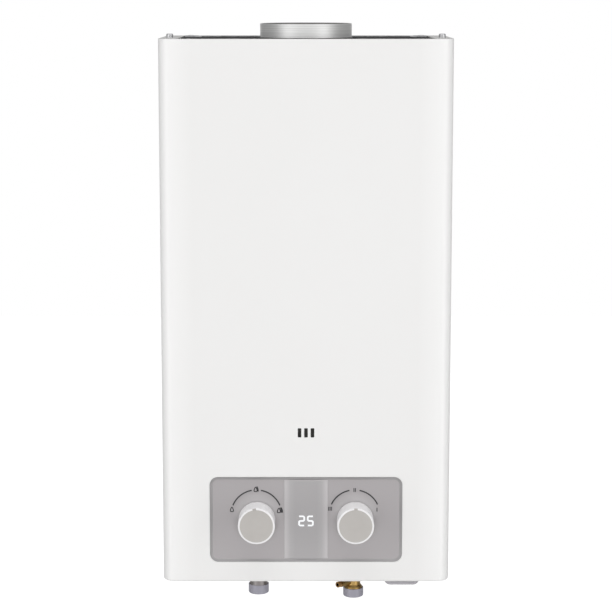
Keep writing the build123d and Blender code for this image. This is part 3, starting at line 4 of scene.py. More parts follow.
import bmesh
import bpy
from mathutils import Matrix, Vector


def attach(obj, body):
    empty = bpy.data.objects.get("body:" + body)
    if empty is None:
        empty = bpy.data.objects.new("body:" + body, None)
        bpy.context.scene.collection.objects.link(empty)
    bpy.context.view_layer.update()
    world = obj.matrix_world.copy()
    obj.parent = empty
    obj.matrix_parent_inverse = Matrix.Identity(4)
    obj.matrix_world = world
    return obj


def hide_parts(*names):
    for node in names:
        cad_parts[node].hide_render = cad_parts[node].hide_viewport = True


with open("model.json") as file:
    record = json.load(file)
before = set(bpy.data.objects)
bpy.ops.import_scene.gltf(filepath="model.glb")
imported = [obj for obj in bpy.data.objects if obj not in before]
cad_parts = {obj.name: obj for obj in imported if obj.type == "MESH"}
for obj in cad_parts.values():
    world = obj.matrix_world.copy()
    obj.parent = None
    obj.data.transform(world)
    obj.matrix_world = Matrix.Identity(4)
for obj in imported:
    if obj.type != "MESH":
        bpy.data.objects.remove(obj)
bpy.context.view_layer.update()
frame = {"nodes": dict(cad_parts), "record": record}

MM = 0.001

# Dimensions in millimetres, in the part's own frame: X right, -Y to the front, Z up
CASE_HALF_W = 156.5
CASE_TOP_Z = 295.0
TOP_PLATE_Z = 294.0
BOTTOM_PLATE_Z = -294.0
FIELD_Y = -163.2  # front of the control panel's sunk field
WINDOW_TOP_Z = -180.85
KNOB_X = 53.2
KNOB_Z = -221.6
KNOB_FRONT_Y = -205.2
INLET_Y = -105.0
HOT_X = -118.0
HOT_Y = -44.5
HOT_TOP_Z = -263.0
VALVE_FLOOR_Z = -239.6
NUT_FLOOR_Z = -300.0
NUT_TOP_Z = -285.0
THREAD_D = 20.955
THREAD_PITCH = 1.814
THREAD_DEPTH = 1.162
FITTING_AF = 27.0
FITTING_HEAD = 12.0
FLUE_Y = -82.5
FLUE_R = 50.0
FLUE_WALL = 1.0
FLUE_FOOT_R = 55.0
FLUE_FOOT_Z = 265.0
FLUE_TOP_Z = 310.0
BATTERY_X = 107.0
BATTERY_Y = -105.0
DOOR_FLOOR_Z = -312.0
CELL_FOOT_Z = -302.7
CELL_L = 61.5
DRAIN_Z = -311.0
DRAIN_HEAD_END = 25.3
DRAIN_SOCKET_R = 1.96
DRAIN_RING_R = 8.0


# Meshes


def new_piece(name, points, faces, material, body, slot=None, smooth=35.0):
    """Mesh object from points in millimetres, smooth up to an angle in degrees, riding a body."""
    mesh = bpy.data.meshes.new(name)
    mesh.from_pydata([Vector(p) * MM for p in points], [], faces)
    shell = bmesh.new()
    shell.from_mesh(mesh)
    bmesh.ops.recalc_face_normals(shell, faces=shell.faces)
    shell.to_mesh(mesh)
    shell.free()
    mesh.shade_smooth()
    mesh.set_sharp_from_angle(angle=math.radians(smooth))
    mesh.materials.append(material)
    piece = bpy.data.objects.new(name, mesh)
    bpy.context.scene.collection.objects.link(piece)
    bpy.context.view_layer.update()
    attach(piece, body)
    return piece


def joined(parts):
    """One list of points and faces from several."""
    points = []
    faces = []
    for more_points, more_faces in parts:
        start = len(points)
        points += more_points
        faces += [tuple(start + i for i in face) for face in more_faces]
    return points, faces


def ring_stack(rings, is_closed):
    """Rings of equal count joined in order, the last to the first if closed, else capped."""
    count = len(rings[0])
    points = [p for ring in rings for p in ring]
    faces = []
    pairs = len(rings) if is_closed else len(rings) - 1
    for i in range(pairs):
        a = i * count
        b = ((i + 1) % len(rings)) * count
        for j in range(count):
            k = (j + 1) % count
            faces.append((a + j, a + k, b + k, b + j))
    if not is_closed:
        last = (len(rings) - 1) * count
        faces.append(tuple(reversed(range(count))))
        faces.append(tuple(last + j for j in range(count)))
    return points, faces


def rows_of(kind, *pairs):
    """Profile rows of one kind from pairs of radius and height."""
    return [(kind, radius, z) for radius, z in pairs]


def section_radius(kind, radius, angle, z):
    """Radius of a round, six-sided or threaded section at an angle."""
    if kind == "hex":
        sixth = math.pi / 3
        return radius / math.cos((angle % sixth) - sixth / 2)
    if kind == "thread":
        turn = (z / THREAD_PITCH - angle / (2 * math.pi)) % 1.0
        crest = 0.5 + 0.5 * math.cos(2 * math.pi * turn)
        return radius - THREAD_DEPTH * (1.0 - crest)
    return radius


def turned(profile, centre, segments, is_closed=True):
    """Profile rows swept about an upright axis, listed up the outside and down the inside."""
    x, y = centre
    rings = []
    for kind, radius, z in profile:
        ring = []
        for j in range(segments):
            angle = 2 * math.pi * j / segments
            r = section_radius(kind, radius, angle, z)
            ring.append((x + r * math.cos(angle), y + r * math.sin(angle), z))
        rings.append(ring)
    return ring_stack(rings, is_closed)


def turned_along(profile, base, axis, up, segments):
    """A capped sweep about any axis through a base point."""
    points, faces = turned(profile, (0, 0), segments, False)
    axis = Vector(axis).normalized()
    side = Vector(up).cross(axis).normalized()
    top = axis.cross(side)
    placed = [tuple(Vector(base) + p[0] * side + p[1] * top + p[2] * axis) for p in points]
    return placed, faces


def ribbon(path, width, y_front, y_back):
    """Flat printed line that follows (x, z) points, a closed solid with square ends."""
    rings = []
    for i, point in enumerate(path):
        before = Vector(path[max(i - 1, 0)])
        after = Vector(path[min(i + 1, len(path) - 1)])
        along = (after - before).normalized()
        across = Vector((-along.y, along.x)) * width / 2
        left = Vector(point) + across
        right = Vector(point) - across
        rings.append([(left.x, y_front, left.y), (right.x, y_front, right.y),
                      (right.x, y_back, right.y), (left.x, y_back, left.y)])
    return ring_stack(rings, False)


# Materials


def cleared_tree(owner):
    """Empty node tree of a material or world."""
    owner.use_nodes = True
    owner.node_tree.nodes.clear()
    return owner.node_tree


class Finish:
    """A material's nodes round one Principled shader, with textures in the object's own metres."""

    def __init__(self, name, rough=0.5, metal=0.0):
        self.material = bpy.data.materials.new(name)
        self.tree = cleared_tree(self.material)
        out = self.tree.nodes.new("ShaderNodeOutputMaterial")
        self.bsdf = self.tree.nodes.new("ShaderNodeBsdfPrincipled")
        self.tree.links.new(self.bsdf.outputs["BSDF"], out.inputs["Surface"])
        self.place = self.tree.nodes.new("ShaderNodeTexCoord").outputs["Object"]
        self.put("Roughness", rough)
        self.put("Metallic", metal)

    def put(self, socket, value):
        self.bsdf.inputs[socket].default_value = value

    def feed(self, socket, output):
        self.tree.links.new(output, self.bsdf.inputs[socket])

    def mapped(self, scale):
        node = self.tree.nodes.new("ShaderNodeMapping")
        node.inputs["Scale"].default_value = scale
        self.tree.links.new(self.place, node.inputs["Vector"])
        return node.outputs["Vector"]

    def noise(self, scale, detail=3.0, rough=0.55, vector=None):
        node = self.tree.nodes.new("ShaderNodeTexNoise")
        node.inputs["Scale"].default_value = scale
        node.inputs["Detail"].default_value = detail
        node.inputs["Roughness"].default_value = rough
        self.tree.links.new(vector or self.place, node.inputs["Vector"])
        return node.outputs["Fac"]

    def cells(self, scale, output):
        node = self.tree.nodes.new("ShaderNodeTexVoronoi")
        node.inputs["Scale"].default_value = scale
        self.tree.links.new(self.place, node.inputs["Vector"])
        return node.outputs[output]

    def maths(self, operation, first, second=None):
        node = self.tree.nodes.new("ShaderNodeMath")
        node.operation = operation
        for i, value in enumerate((first, second)):
            if value is None:
                continue
            if isinstance(value, (int, float)):
                node.inputs[i].default_value = value
            else:
                self.tree.links.new(value, node.inputs[i])
        return node.outputs[0]

    def reach(self, first, second):
        """Distance from two offsets at right angles."""
        squares = [self.maths("MULTIPLY", side, side) for side in (first, second)]
        return self.maths("SQRT", self.maths("ADD", *squares))

    def split(self, vector=None):
        node = self.tree.nodes.new("ShaderNodeSeparateXYZ")
        self.tree.links.new(vector or self.place, node.inputs[0])
        return node.outputs

    def ramp(self, amount, *stops):
        """Colours by position along a texture's value."""
        node = self.tree.nodes.new("ShaderNodeValToRGB")
        band = node.color_ramp
        while len(band.elements) < len(stops):
            band.elements.new(0.5)
        for element, (position, colour) in zip(band.elements, stops):
            element.position = position
            element.color = (*colour, 1.0)
        self.tree.links.new(amount, node.inputs["Fac"])
        return node.outputs["Color"]

    def span(self, amount, low, high, start=0.0, end=1.0):
        """Low to high, as a value goes from start to end."""
        node = self.tree.nodes.new("ShaderNodeMapRange")
        node.inputs["From Min"].default_value = start
        node.inputs["From Max"].default_value = end
        node.inputs["To Min"].default_value = low
        node.inputs["To Max"].default_value = high
        self.tree.links.new(amount, node.inputs["Value"])
        return node.outputs["Result"]

    def rise(self, amount, start, end):
        """0 to 1 between two places in millimetres."""
        return self.span(amount, 0.0, 1.0, start * MM, end * MM)

    def fall(self, amount, start, end):
        """1 to 0 between two places in millimetres."""
        return self.span(amount, 1.0, 0.0, start * MM, end * MM)

    def tint(self, amount, colour, other):
        """Two colours or sockets mixed by a texture's value."""
        node = self.tree.nodes.new("ShaderNodeMix")
        node.data_type = "RGBA"
        self.tree.links.new(amount, node.inputs["Factor"])
        sockets = [s for s in node.inputs if s.type == "RGBA"]
        for socket, value in zip(sockets, (colour, other)):
            if isinstance(value, tuple):
                socket.default_value = (*value, 1.0)
            else:
                self.tree.links.new(value, socket)
        return [s for s in node.outputs if s.type == "RGBA"][0]

    def relief(self, height, strength, depth):
        """Bump of a real depth in metres, on top of any before it."""
        node = self.tree.nodes.new("ShaderNodeBump")
        node.inputs["Strength"].default_value = strength
        node.inputs["Distance"].default_value = depth
        self.tree.links.new(height, node.inputs["Height"])
        normal = self.bsdf.inputs["Normal"]
        if normal.links:
            self.tree.links.new(normal.links[0].from_socket, node.inputs["Normal"])
        self.tree.links.new(node.outputs["Normal"], normal)

    def from_knob(self):
        """Offsets across and up from the axis of the nearer knob."""
        x, _, z = self.split()
        dx = self.maths("SUBTRACT", self.maths("ABSOLUTE", x), KNOB_X * MM)
        return dx, self.maths("SUBTRACT", z, KNOB_Z * MM)


ROUGH_VARY = 0.06


def scaled(colour, amount):
    return tuple(min(c * amount, 1.0) for c in colour)


def mottled(name, colour, rough, metal, patch, vary, grain, depth=0.00004, strength=0.25):
    """Colour that drifts a little, roughness that drifts with it, and a fine grain."""
    f = Finish(name, rough=rough, metal=metal)
    drift = f.noise(patch, 4.0, 0.6)
    f.feed("Base Color", f.ramp(drift, (0.3, scaled(colour, 1 - vary)), (0.7, scaled(colour, 1 + vary))))
    gloss = f.noise(patch * 4, 3.0, 0.6)
    f.feed("Roughness", f.span(gloss, rough - ROUGH_VARY, rough + ROUGH_VARY))
    f.relief(f.noise(grain, 2.0, 0.5), strength, depth)
    return f


# Where a finish changes, in millimetres, as the start and end of the change
EDGE_HIGHLIGHT = (36.0, 9.0)  # in from the sides of the case, where a painted highlight whitens the coat
TOP_SHADE_STRIP = (0.6, 0.1)  # down from the top of the case, where the coat is painted darker as shade and is also rougher
COLLAR_SHADE_SKIN = (0.9, 0.4)  # in from the outside of the collar, where painted shade darkens the inside
KNOB_PAINTED_LIGHT = (14.0, 28.0)  # out from a knob's axis, where painted light pales the panel
KNOB_PAINTED_LIGHT_LIFT = (-4.0, 8.0)  # up from a knob's axis, where that painted light begins
PANEL_BORDER_SHADE = (0.1, 0.6)  # forward from the panel's field, where painted shade darkens the border
WINDOW_EDGE_HIGHLIGHT = (12.0, 23.3)  # out from the window's middle, where painted highlights pale the edges
WINDOW_END_LIGHT = (0.8, 0.1)  # down from the window's top, where painted light pales the end
KNOB_SIDE_LIGHT = (1.4, 0.4)  # back from a knob's front, where painted light whitens the sides
DOOR_PAINTED_LIGHT = (2.6, 5.6)  # up from the door's floor, where painted light pales the lower edge
SOCKET_SHADE_MOUTH = (0.4, 0.05)  # back from the drain screw's end, where painted shade darkens the socket
SOCKET_SHADE_WALL = (0.1, 0.3)  # out from the socket's radius, where that painted shade ends
FACE_RINGS = 16000.0  # radians of ring pattern per metre of a knob face's radius


def cover_enamel():
    """Powder coat with a painted highlight along the folded edges, and painted shade on the duller top
    strips.
    """
    f = Finish("cover_enamel", rough=0.3)
    drift = f.noise(3.0, 2.0)
    coat = f.ramp(drift, (0.3, (0.866, 0.860, 0.852)), (0.7, (0.880, 0.875, 0.868)))
    x, _, z = f.split()
    # Painted highlight: the coat is whiter towards the sides of the case
    edge = f.rise(f.maths("ABSOLUTE", x), CASE_HALF_W - EDGE_HIGHLIGHT[0], CASE_HALF_W - EDGE_HIGHLIGHT[1])
    # Painted shade: the coat is darker on the top strip; its roughness also rises there
    top = f.rise(z, CASE_TOP_Z - TOP_SHADE_STRIP[0], CASE_TOP_Z - TOP_SHADE_STRIP[1])
    f.feed("Base Color", f.tint(top, f.tint(edge, coat, (0.93, 0.926, 0.92)), (0.72, 0.716, 0.71)))
    gloss = f.span(f.noise(60.0, 4.0), 0.285, 0.335)
    f.feed("Roughness", f.maths("ADD", gloss, f.span(top, 0.0, 0.6)))
    f.relief(f.noise(420.0, 2.0, 0.5), 0.08, 0.00004)
    return f.material


def galvanised():
    """Zinc flakes of different greys."""
    f = Finish("galvanised", rough=0.4, metal=1.0)
    tone = f.split(f.cells(160.0, "Color"))[0]
    f.feed("Base Color", f.ramp(tone, (0.0, (0.47, 0.48, 0.49)), (0.55, (0.56, 0.57, 0.58)),
                                (1.0, (0.66, 0.67, 0.675))))
    f.feed("Roughness", f.span(f.noise(90.0, 4.0), 0.34, 0.5))
    f.relief(f.noise(700.0, 3.0), 0.12, 0.00005)
    return f.material


def top_dark():
    f = mottled("top_dark", (0.03, 0.03, 0.032), 0.8, 0.0, 14.0, 0.2, 900.0)
    f.put("Specular IOR Level", 0.05)
    return f.material


def collar_metal():
    """Strip brushed round the collar, with painted shade inside."""
    f = Finish("collar_metal", rough=0.5, metal=1.0)
    streak = f.noise(1.0, 5.0, 0.65, f.mapped((6.0, 6.0, 900.0)))
    brushed = f.ramp(streak, (0.3, (0.61, 0.61, 0.605)), (0.5, (0.72, 0.72, 0.715)),
                     (0.72, (0.83, 0.83, 0.825)))
    x, y, _ = f.split()
    radius = f.reach(x, f.maths("SUBTRACT", y, FLUE_Y * MM))
    # Painted shade: the inside of the collar is near black
    inside = f.fall(radius, FLUE_R - COLLAR_SHADE_SKIN[0], FLUE_R - COLLAR_SHADE_SKIN[1])
    f.feed("Base Color", f.tint(inside, brushed, (0.13, 0.125, 0.12)))
    f.feed("Roughness", f.span(streak, 0.4, 0.54))
    f.relief(f.noise(1.0, 3.0, 0.6, f.mapped((12.0, 12.0, 2400.0))), 0.2, 0.00003)
    return f.material


def copper():
    """Copper with darker heat stains."""
    f = Finish("copper", rough=0.32, metal=1.0)
    stain = f.noise(16.0, 5.0, 0.65)
    f.feed("Base Color", f.ramp(stain, (0.25, (0.46, 0.2, 0.12)), (0.5, (0.74, 0.38, 0.25)),
                                (0.75, (0.82, 0.47, 0.33))))
    f.feed("Roughness", f.span(f.noise(70.0, 4.0), 0.28, 0.44))
    f.relief(f.noise(900.0, 2.0), 0.15, 0.00004)
    return f.material


def brass():
    """Cast and turned brass with dull stains."""
    f = Finish("brass", rough=0.3, metal=1.0)
    stain = f.noise(45.0, 5.0, 0.65)
    f.feed("Base Color", f.ramp(stain, (0.25, (0.22, 0.128, 0.043)), (0.5, (0.36, 0.236, 0.084)),
                                (0.75, (0.5, 0.355, 0.152))))
    f.feed("Roughness", f.span(f.noise(160.0, 4.0), 0.28, 0.4))
    f.relief(f.noise(1.0, 2.0, 0.5, f.mapped((300.0, 300.0, 3000.0))), 0.12, 0.00003)
    return f.material


def panel_plastic():
    """Fine-grained moulding, with painted shade on the border before its field and painted light above each
    knob.
    """
    f = Finish("panel_plastic", rough=0.4)
    drift = f.noise(7.0, 3.0)
    field = f.ramp(drift, (0.3, (0.404, 0.384, 0.391)), (0.7, (0.424, 0.402, 0.409)))
    # Painted light: the panel is paler round the upper half of each knob
    dx, dz = f.from_knob()
    near = f.fall(f.reach(dx, dz), *KNOB_PAINTED_LIGHT)
    above = f.rise(dz, *KNOB_PAINTED_LIGHT_LIFT)
    knob_lit = f.tint(f.maths("MULTIPLY", near, above), field, (0.64, 0.622, 0.628))
    # Painted shade: the border before the field is darker
    forward = f.maths("MULTIPLY", f.split()[1], -1.0)
    border = f.rise(forward, -FIELD_Y + PANEL_BORDER_SHADE[0], -FIELD_Y + PANEL_BORDER_SHADE[1])
    f.feed("Base Color", f.tint(border, knob_lit, (0.345, 0.336, 0.339)))
    f.feed("Roughness", f.span(f.noise(300.0, 2.0), 0.36, 0.46))
    f.relief(f.noise(2600.0, 2.0, 0.6), 0.12, 0.00003)
    return f.material


def window_plastic():
    """Smoked strip with painted highlights towards its two long edges and painted light on its upper end."""
    f = Finish("window_plastic", rough=0.24)
    x, _, z = f.split()
    # Painted highlights: the strip is paler towards its long edges
    edge = f.rise(f.maths("ABSOLUTE", x), *WINDOW_EDGE_HIGHLIGHT)
    edge_highlighted = f.ramp(edge, (0.0, (0.402, 0.388, 0.393)), (0.45, (0.435, 0.42, 0.426)),
                  (0.8, (0.52, 0.50, 0.507)), (1.0, (0.55, 0.53, 0.537)))
    speck = f.noise(1800.0, 2.0)
    smoked = f.tint(f.span(speck, 0.0, 0.08), edge_highlighted, (0.3, 0.3, 0.31))
    # Painted light: the strip is paler at its upper end
    end = f.rise(z, WINDOW_TOP_Z - WINDOW_END_LIGHT[0], WINDOW_TOP_Z - WINDOW_END_LIGHT[1])
    f.feed("Base Color", f.tint(end, smoked, (0.6, 0.58, 0.586)))
    f.feed("Roughness", f.span(f.noise(120.0, 3.0), 0.19, 0.265))
    f.put("Coat Weight", 0.4)
    f.put("Coat Roughness", 0.1)
    return f.material


def digit_light():
    """Lit segments behind a diffuser."""
    f = Finish("digit_light", rough=0.35)
    spread = f.noise(900.0, 2.0)
    f.feed("Base Color", f.ramp(spread, (0.3, (0.4, 0.41, 0.42)), (0.7, (0.45, 0.46, 0.47))))
    f.feed("Emission Color", f.ramp(spread, (0.2, (0.95, 0.97, 1.0)), (0.8, (1.0, 1.0, 1.0))))
    f.put("Emission Strength", 0.6)
    return f.material


def knob_plastic():
    """Pearl moulding, with painted light that makes its sides whiter than its front edge."""
    f = Finish("knob_plastic", rough=0.3)
    drift = f.noise(25.0, 3.0)
    front = f.ramp(drift, (0.3, (0.87, 0.862, 0.868)), (0.7, (0.9, 0.892, 0.897)))
    forward = f.maths("MULTIPLY", f.split()[1], -1.0)
    # Painted light: the knob's sides are whiter than its front
    side = f.fall(forward, -KNOB_FRONT_Y - KNOB_SIDE_LIGHT[0], -KNOB_FRONT_Y - KNOB_SIDE_LIGHT[1])
    f.feed("Base Color", f.tint(side, front, (0.95, 0.94, 0.95)))
    f.feed("Roughness", f.span(f.noise(250.0, 3.0), 0.28, 0.36))
    f.relief(f.noise(2200.0, 2.0), 0.06, 0.00003)
    f.put("Specular IOR Level", 0.25)
    f.put("Coat Weight", 0.08)
    f.put("Coat Roughness", 0.15)
    return f.material


def knob_face_plastic():
    """Spun face: faint rings round each knob's axis."""
    f = Finish("knob_face_plastic", rough=0.42)
    rings = f.maths("SINE", f.maths("MULTIPLY", f.reach(*f.from_knob()), FACE_RINGS))
    wobble = f.noise(60.0, 3.0)
    f.feed("Base Color", f.ramp(wobble, (0.3, (0.482, 0.460, 0.438)), (0.7, (0.508, 0.486, 0.464))))
    f.feed("Roughness", f.span(rings, 0.38, 0.46, -1.0, 1.0))
    f.relief(rings, 0.06, 0.00002)
    f.relief(f.noise(2600.0, 2.0), 0.06, 0.00002)
    return f.material


def cap_plastic():
    f = mottled("cap_plastic", (0.336, 0.328, 0.383), 0.42, 0.0, 40.0, 0.05, 1800.0)
    f.put("Coat Weight", 0.12)
    f.put("Coat Roughness", 0.3)
    return f.material


def door_plastic():
    """Darker moulding than the caps, with painted light on its lower edge."""
    f = Finish("door_plastic", rough=0.5)
    drift = f.noise(40.0, 4.0, 0.6)
    plain = f.ramp(drift, (0.3, (0.28, 0.27, 0.292)), (0.7, (0.308, 0.296, 0.32)))
    # Painted light: the door is paler along its lower edge
    low = f.fall(f.split()[2], DOOR_FLOOR_Z + DOOR_PAINTED_LIGHT[0], DOOR_FLOOR_Z + DOOR_PAINTED_LIGHT[1])
    f.feed("Base Color", f.tint(low, plain, (0.535, 0.518, 0.55)))
    f.feed("Roughness", f.span(f.noise(160.0, 3.0), 0.44, 0.56))
    f.relief(f.noise(1800.0, 2.0), 0.25, 0.00004)
    f.put("Specular IOR Level", 0.3)
    return f.material


def drain_brass():
    """Redder brass with painted shade down the screw's socket. The screw points forward and left."""
    f = Finish("drain_brass", rough=0.3, metal=1.0)
    stain = f.noise(45.0, 5.0, 0.65)
    bright = f.ramp(stain, (0.25, (0.33, 0.175, 0.065)), (0.5, (0.48, 0.29, 0.12)),
                    (0.75, (0.6, 0.41, 0.2)))
    x, y, z = f.split()
    dx = f.maths("SUBTRACT", x, KNOB_X * MM)
    dy = f.maths("SUBTRACT", y, INLET_Y * MM)
    dz = f.maths("SUBTRACT", z, DRAIN_Z * MM)
    along = f.maths("MULTIPLY", f.maths("ADD", dx, dy), -math.sqrt(0.5))
    across = f.maths("MULTIPLY", f.maths("SUBTRACT", dx, dy), math.sqrt(0.5))
    # Painted shade: the socket is near black inside
    deep = f.fall(along, DRAIN_HEAD_END - SOCKET_SHADE_MOUTH[0], DRAIN_HEAD_END - SOCKET_SHADE_MOUTH[1])
    narrow = f.fall(f.reach(across, dz), DRAIN_SOCKET_R + SOCKET_SHADE_WALL[0], DRAIN_SOCKET_R + SOCKET_SHADE_WALL[1])
    f.feed("Base Color", f.tint(f.maths("MULTIPLY", deep, narrow), bright, (0.035, 0.018, 0.008)))
    f.feed("Roughness", f.span(f.noise(160.0, 4.0), 0.28, 0.4))
    f.relief(f.noise(900.0, 2.0), 0.12, 0.00003)
    return f.material


def circuit_board():
    """Green lacquer with gold pads."""
    f = Finish("circuit_board", rough=0.35)
    tracks = f.cells(260.0, "Distance")
    f.feed("Base Color", f.ramp(tracks, (0.06, (0.5, 0.36, 0.12)), (0.1, (0.02, 0.16, 0.06)),
                                (0.5, (0.03, 0.2, 0.08))))
    f.feed("Roughness", f.span(f.noise(200.0), 0.28, 0.42))
    f.relief(f.noise(500.0), 0.15, 0.00004)
    return f.material


def cell_wrap():
    """Printed sleeve with a plain band at the upper end of each cell."""
    f = Finish("cell_wrap", rough=0.28)
    height = f.maths("SUBTRACT", f.split()[2], CELL_FOOT_Z * MM)
    along = f.maths("FRACT", f.maths("DIVIDE", height, CELL_L * MM))
    f.feed("Base Color", f.ramp(along, (0.0, (0.5, 0.5, 0.52)), (0.03, (0.05, 0.06, 0.08)),
                                (0.68, (0.06, 0.07, 0.09)), (0.7, (0.55, 0.36, 0.1)),
                                (0.96, (0.6, 0.42, 0.14)), (0.97, (0.6, 0.6, 0.62))))
    f.feed("Roughness", f.span(f.noise(120.0), 0.22, 0.36))
    f.relief(f.noise(260.0), 0.05, 0.00005)
    f.put("Coat Weight", 0.4)
    return f.material


def sight_glass():
    """Sooted glass, almost black from the front."""
    f = Finish("sight_glass", rough=0.12)
    soot = f.noise(60.0, 4.0)
    f.feed("Base Color", f.ramp(soot, (0.3, (0.006, 0.006, 0.006)), (0.7, (0.016, 0.015, 0.013))))
    f.feed("Roughness", f.span(soot, 0.1, 0.22))
    f.put("IOR", 1.5)
    f.put("Specular IOR Level", 0.25)
    return f.material


# Colour, roughness, metallic, patch scale, colour drift, grain scale, grain depth and strength
PLAIN_LOOKS = {
    "valve_alloy": ((0.58, 0.58, 0.59), 0.5, 1.0, 40.0, 0.08, 600.0, 0.00012, 0.4),
    "steel": ((0.6, 0.6, 0.61), 0.34, 1.0, 60.0, 0.08, 1200.0, 0.00003, 0.15),
    "plated_tail": ((0.33, 0.305, 0.3), 0.4, 1.0, 60.0, 0.12, 1200.0, 0.00003, 0.15),
    "tab_steel": ((0.33, 0.33, 0.34), 0.45, 1.0, 50.0, 0.1, 900.0, 0.00004, 0.2),
    "rubber": ((0.03, 0.03, 0.031), 0.7, 0.0, 50.0, 0.15, 900.0, 0.0001, 0.4),
    "lead_rubber": ((0.48, 0.03, 0.025), 0.5, 0.0, 40.0, 0.12, 1200.0, 0.00005, 0.3),
    "filter_plastic": ((0.75, 0.75, 0.71), 0.5, 0.0, 60.0, 0.05, 1500.0),
    "black_plastic": ((0.03, 0.03, 0.033), 0.48, 0.0, 40.0, 0.15, 1000.0, 0.00008, 0.4),
    "ceramic": ((0.8, 0.78, 0.73), 0.22, 0.0, 50.0, 0.04, 500.0, 0.00003, 0.1),
    "dial_ink": ((0.03, 0.029, 0.031), 0.5, 0.0, 300.0, 0.12, 2500.0),
}
SHAPED_LOOKS = (cover_enamel, galvanised, top_dark, collar_metal, copper, brass, panel_plastic,
                window_plastic, digit_light, circuit_board, knob_plastic, knob_face_plastic, cap_plastic,
                door_plastic, drain_brass, cell_wrap, sight_glass)
FINISHES = {look.__name__: look() for look in SHAPED_LOOKS}
FINISHES.update({name: mottled(name, *look).material for name, look in PLAIN_LOOKS.items()})

# Nodes that look a little different from the rest of their slot
OWN_FINISH = {"battery_door": "door_plastic", "gas_inlet_fitting": "plated_tail",
              "drain_screw": "drain_brass"}
node_slot = {row["node"]: row["material_slot"] for row in frame["record"]["subparts"]}


def node_finish(node_name):
    return FINISHES[OWN_FINISH.get(node_name, node_slot[node_name])]


for node_name, node in frame["nodes"].items():
    node.data.materials.clear()
    node.data.materials.append(node_finish(node_name))


# Dial marks printed on the panel

INK_FRONT_Y = FIELD_Y - 0.07
INK_BACK_Y = FIELD_Y + 0.05
DIAL_Z = KNOB_Z + 1.9
FLAME_DIAL_X = -KNOB_X - 0.9
WATER_DIAL_X = KNOB_X - 0.4
ARC_R = 27.6
ARC_W = 1.5
ARC_STEPS = 24
FLAME_ARC = (10.5, 68)  # degrees to each side of upright
WATER_ARC = (11.5, 65.5)
FLAME_W = 3.2
FLAME_H = 5.0
FLAME_STROKE = 1.05
FLAME_STEPS = 14
FLAME_TIP = 0.02  # a side bulges as a half wave does, from this share of it at the tip
FLAME_BELLY = 0.62  # on by this share at the foot
FLAME_CURVE = 0.9
BACK_FLAME_STEP = 1.15
BACK_FLAME_RISE = 0.35
BACK_FLAME_TALLER = 0.7
BACK_FLAME_STROKE = 1.25
BAR_PITCH = 1.6
BAR_HALF_H = 2.2
BAR_W = 1.0
FLAME_MARKS = ((-80.8, -213.8, 1), (-54.9, -191.4, 2), (-29.6, -215.0, 3))  # x, z, count
BAR_MARKS = ((26.3, -213.1, 3), (53.0, -192.2, 2), (77.4, -214.1, 1))


def ink(path, width):
    return ribbon(path, width, INK_FRONT_Y, INK_BACK_Y)


def dial_point(x, degrees):
    angle = math.radians(degrees)
    return x + ARC_R * math.sin(angle), DIAL_Z + ARC_R * math.cos(angle)


def dial_arc(x, start, end):
    path = [dial_point(x, start + (end - start) * i / ARC_STEPS) for i in range(ARC_STEPS + 1)]
    return ink(path, ARC_W)


def flame_side(x, z, height, side):
    """Points of one side of a flame from its tip down to its foot."""
    path = []
    for i in range(FLAME_STEPS + 1):
        t = i / FLAME_STEPS
        bulge = math.sin(math.pi * (t * FLAME_BELLY + FLAME_TIP)) ** FLAME_CURVE
        path.append((x + side * FLAME_W / 2 * bulge, z + height / 2 - height * t))
    return path


def flame_mark(x, z, count):
    """Flame outline, with more behind it to the upper right."""
    left = flame_side(x, z, FLAME_H, -1)
    right = flame_side(x, z, FLAME_H, 1)
    path = list(reversed(right)) + left[1:]
    marks = [ink(path, FLAME_STROKE), ink([path[0], path[-1]], FLAME_STROKE)]
    for i in range(1, count):
        behind = flame_side(x + BACK_FLAME_STEP * i, z + BACK_FLAME_RISE, FLAME_H + BACK_FLAME_TALLER, 1)
        marks.append(ink(behind, BACK_FLAME_STROKE))
    return marks


def bar_mark(x, z, count):
    """Upright bars side by side."""
    marks = []
    for i in range(count):
        place = x + (i - (count - 1) / 2) * BAR_PITCH
        marks.append(ink([(place, z - BAR_HALF_H), (place, z), (place, z + BAR_HALF_H)], BAR_W))
    return marks


def dial_print(name, x, arc, mark, marks):
    """Two arcs with their signs, as one piece."""
    near, far = arc
    prints = [dial_arc(x, -far, -near), dial_arc(x, near, far)]
    for sign in marks:
        prints += mark(*sign)
    new_piece(name, *joined(prints), FINISHES["dial_ink"], "case", smooth=20.0)


dial_print("flame_dial_print", FLAME_DIAL_X, FLAME_ARC, flame_mark, FLAME_MARKS)
dial_print("water_dial_print", WATER_DIAL_X, WATER_ARC, bar_mark, BAR_MARKS)


# Flue collar rolled from strip: flared foot, pressed bead, rounded rim, riveted lap inside at the back

FLUE_SEGMENTS = 128
COLLAR_FOOT = ((FLUE_FOOT_R, 0.0), (FLUE_FOOT_R, 0.8), (FLUE_FOOT_R - 0.3, 1.0),
               (FLUE_R + 1.4, 1.0), (FLUE_R + 0.4, 1.4), (FLUE_R, 2.4))  # radius, height
COLLAR_BEAD = ((0.0, -2.0), (0.5, -1.0), (0.7, 0.0), (0.5, 1.0), (0.0, 2.0))  # depth, height
COLLAR_RIM = ((0.0, -0.5), (0.15, -0.15), (0.5, 0.0), (0.85, -0.15), (1.0, -0.5))  # depth, height
BEAD_Z = 274.0
COLLAR_MID_Z = 290.0
SEAM_T = 0.8
SEAM_SINK = 0.05
SEAM_LOW_Z = 278.0
SEAM_HIGH_Z = 308.5
SEAM_HALF_ANGLE = 8
SEAM_STEPS = 8
SEAM_RIVETS_Z = (284.0, 302.0)
SEAM_RIVET = rows_of("round", (2.0, 0.0), (2.0, 0.2), (1.7, 0.7), (1.1, 1.05), (0.3, 1.2))
SEAM_RIVET_SEGMENTS = 20
GASKET_Z = 291.0
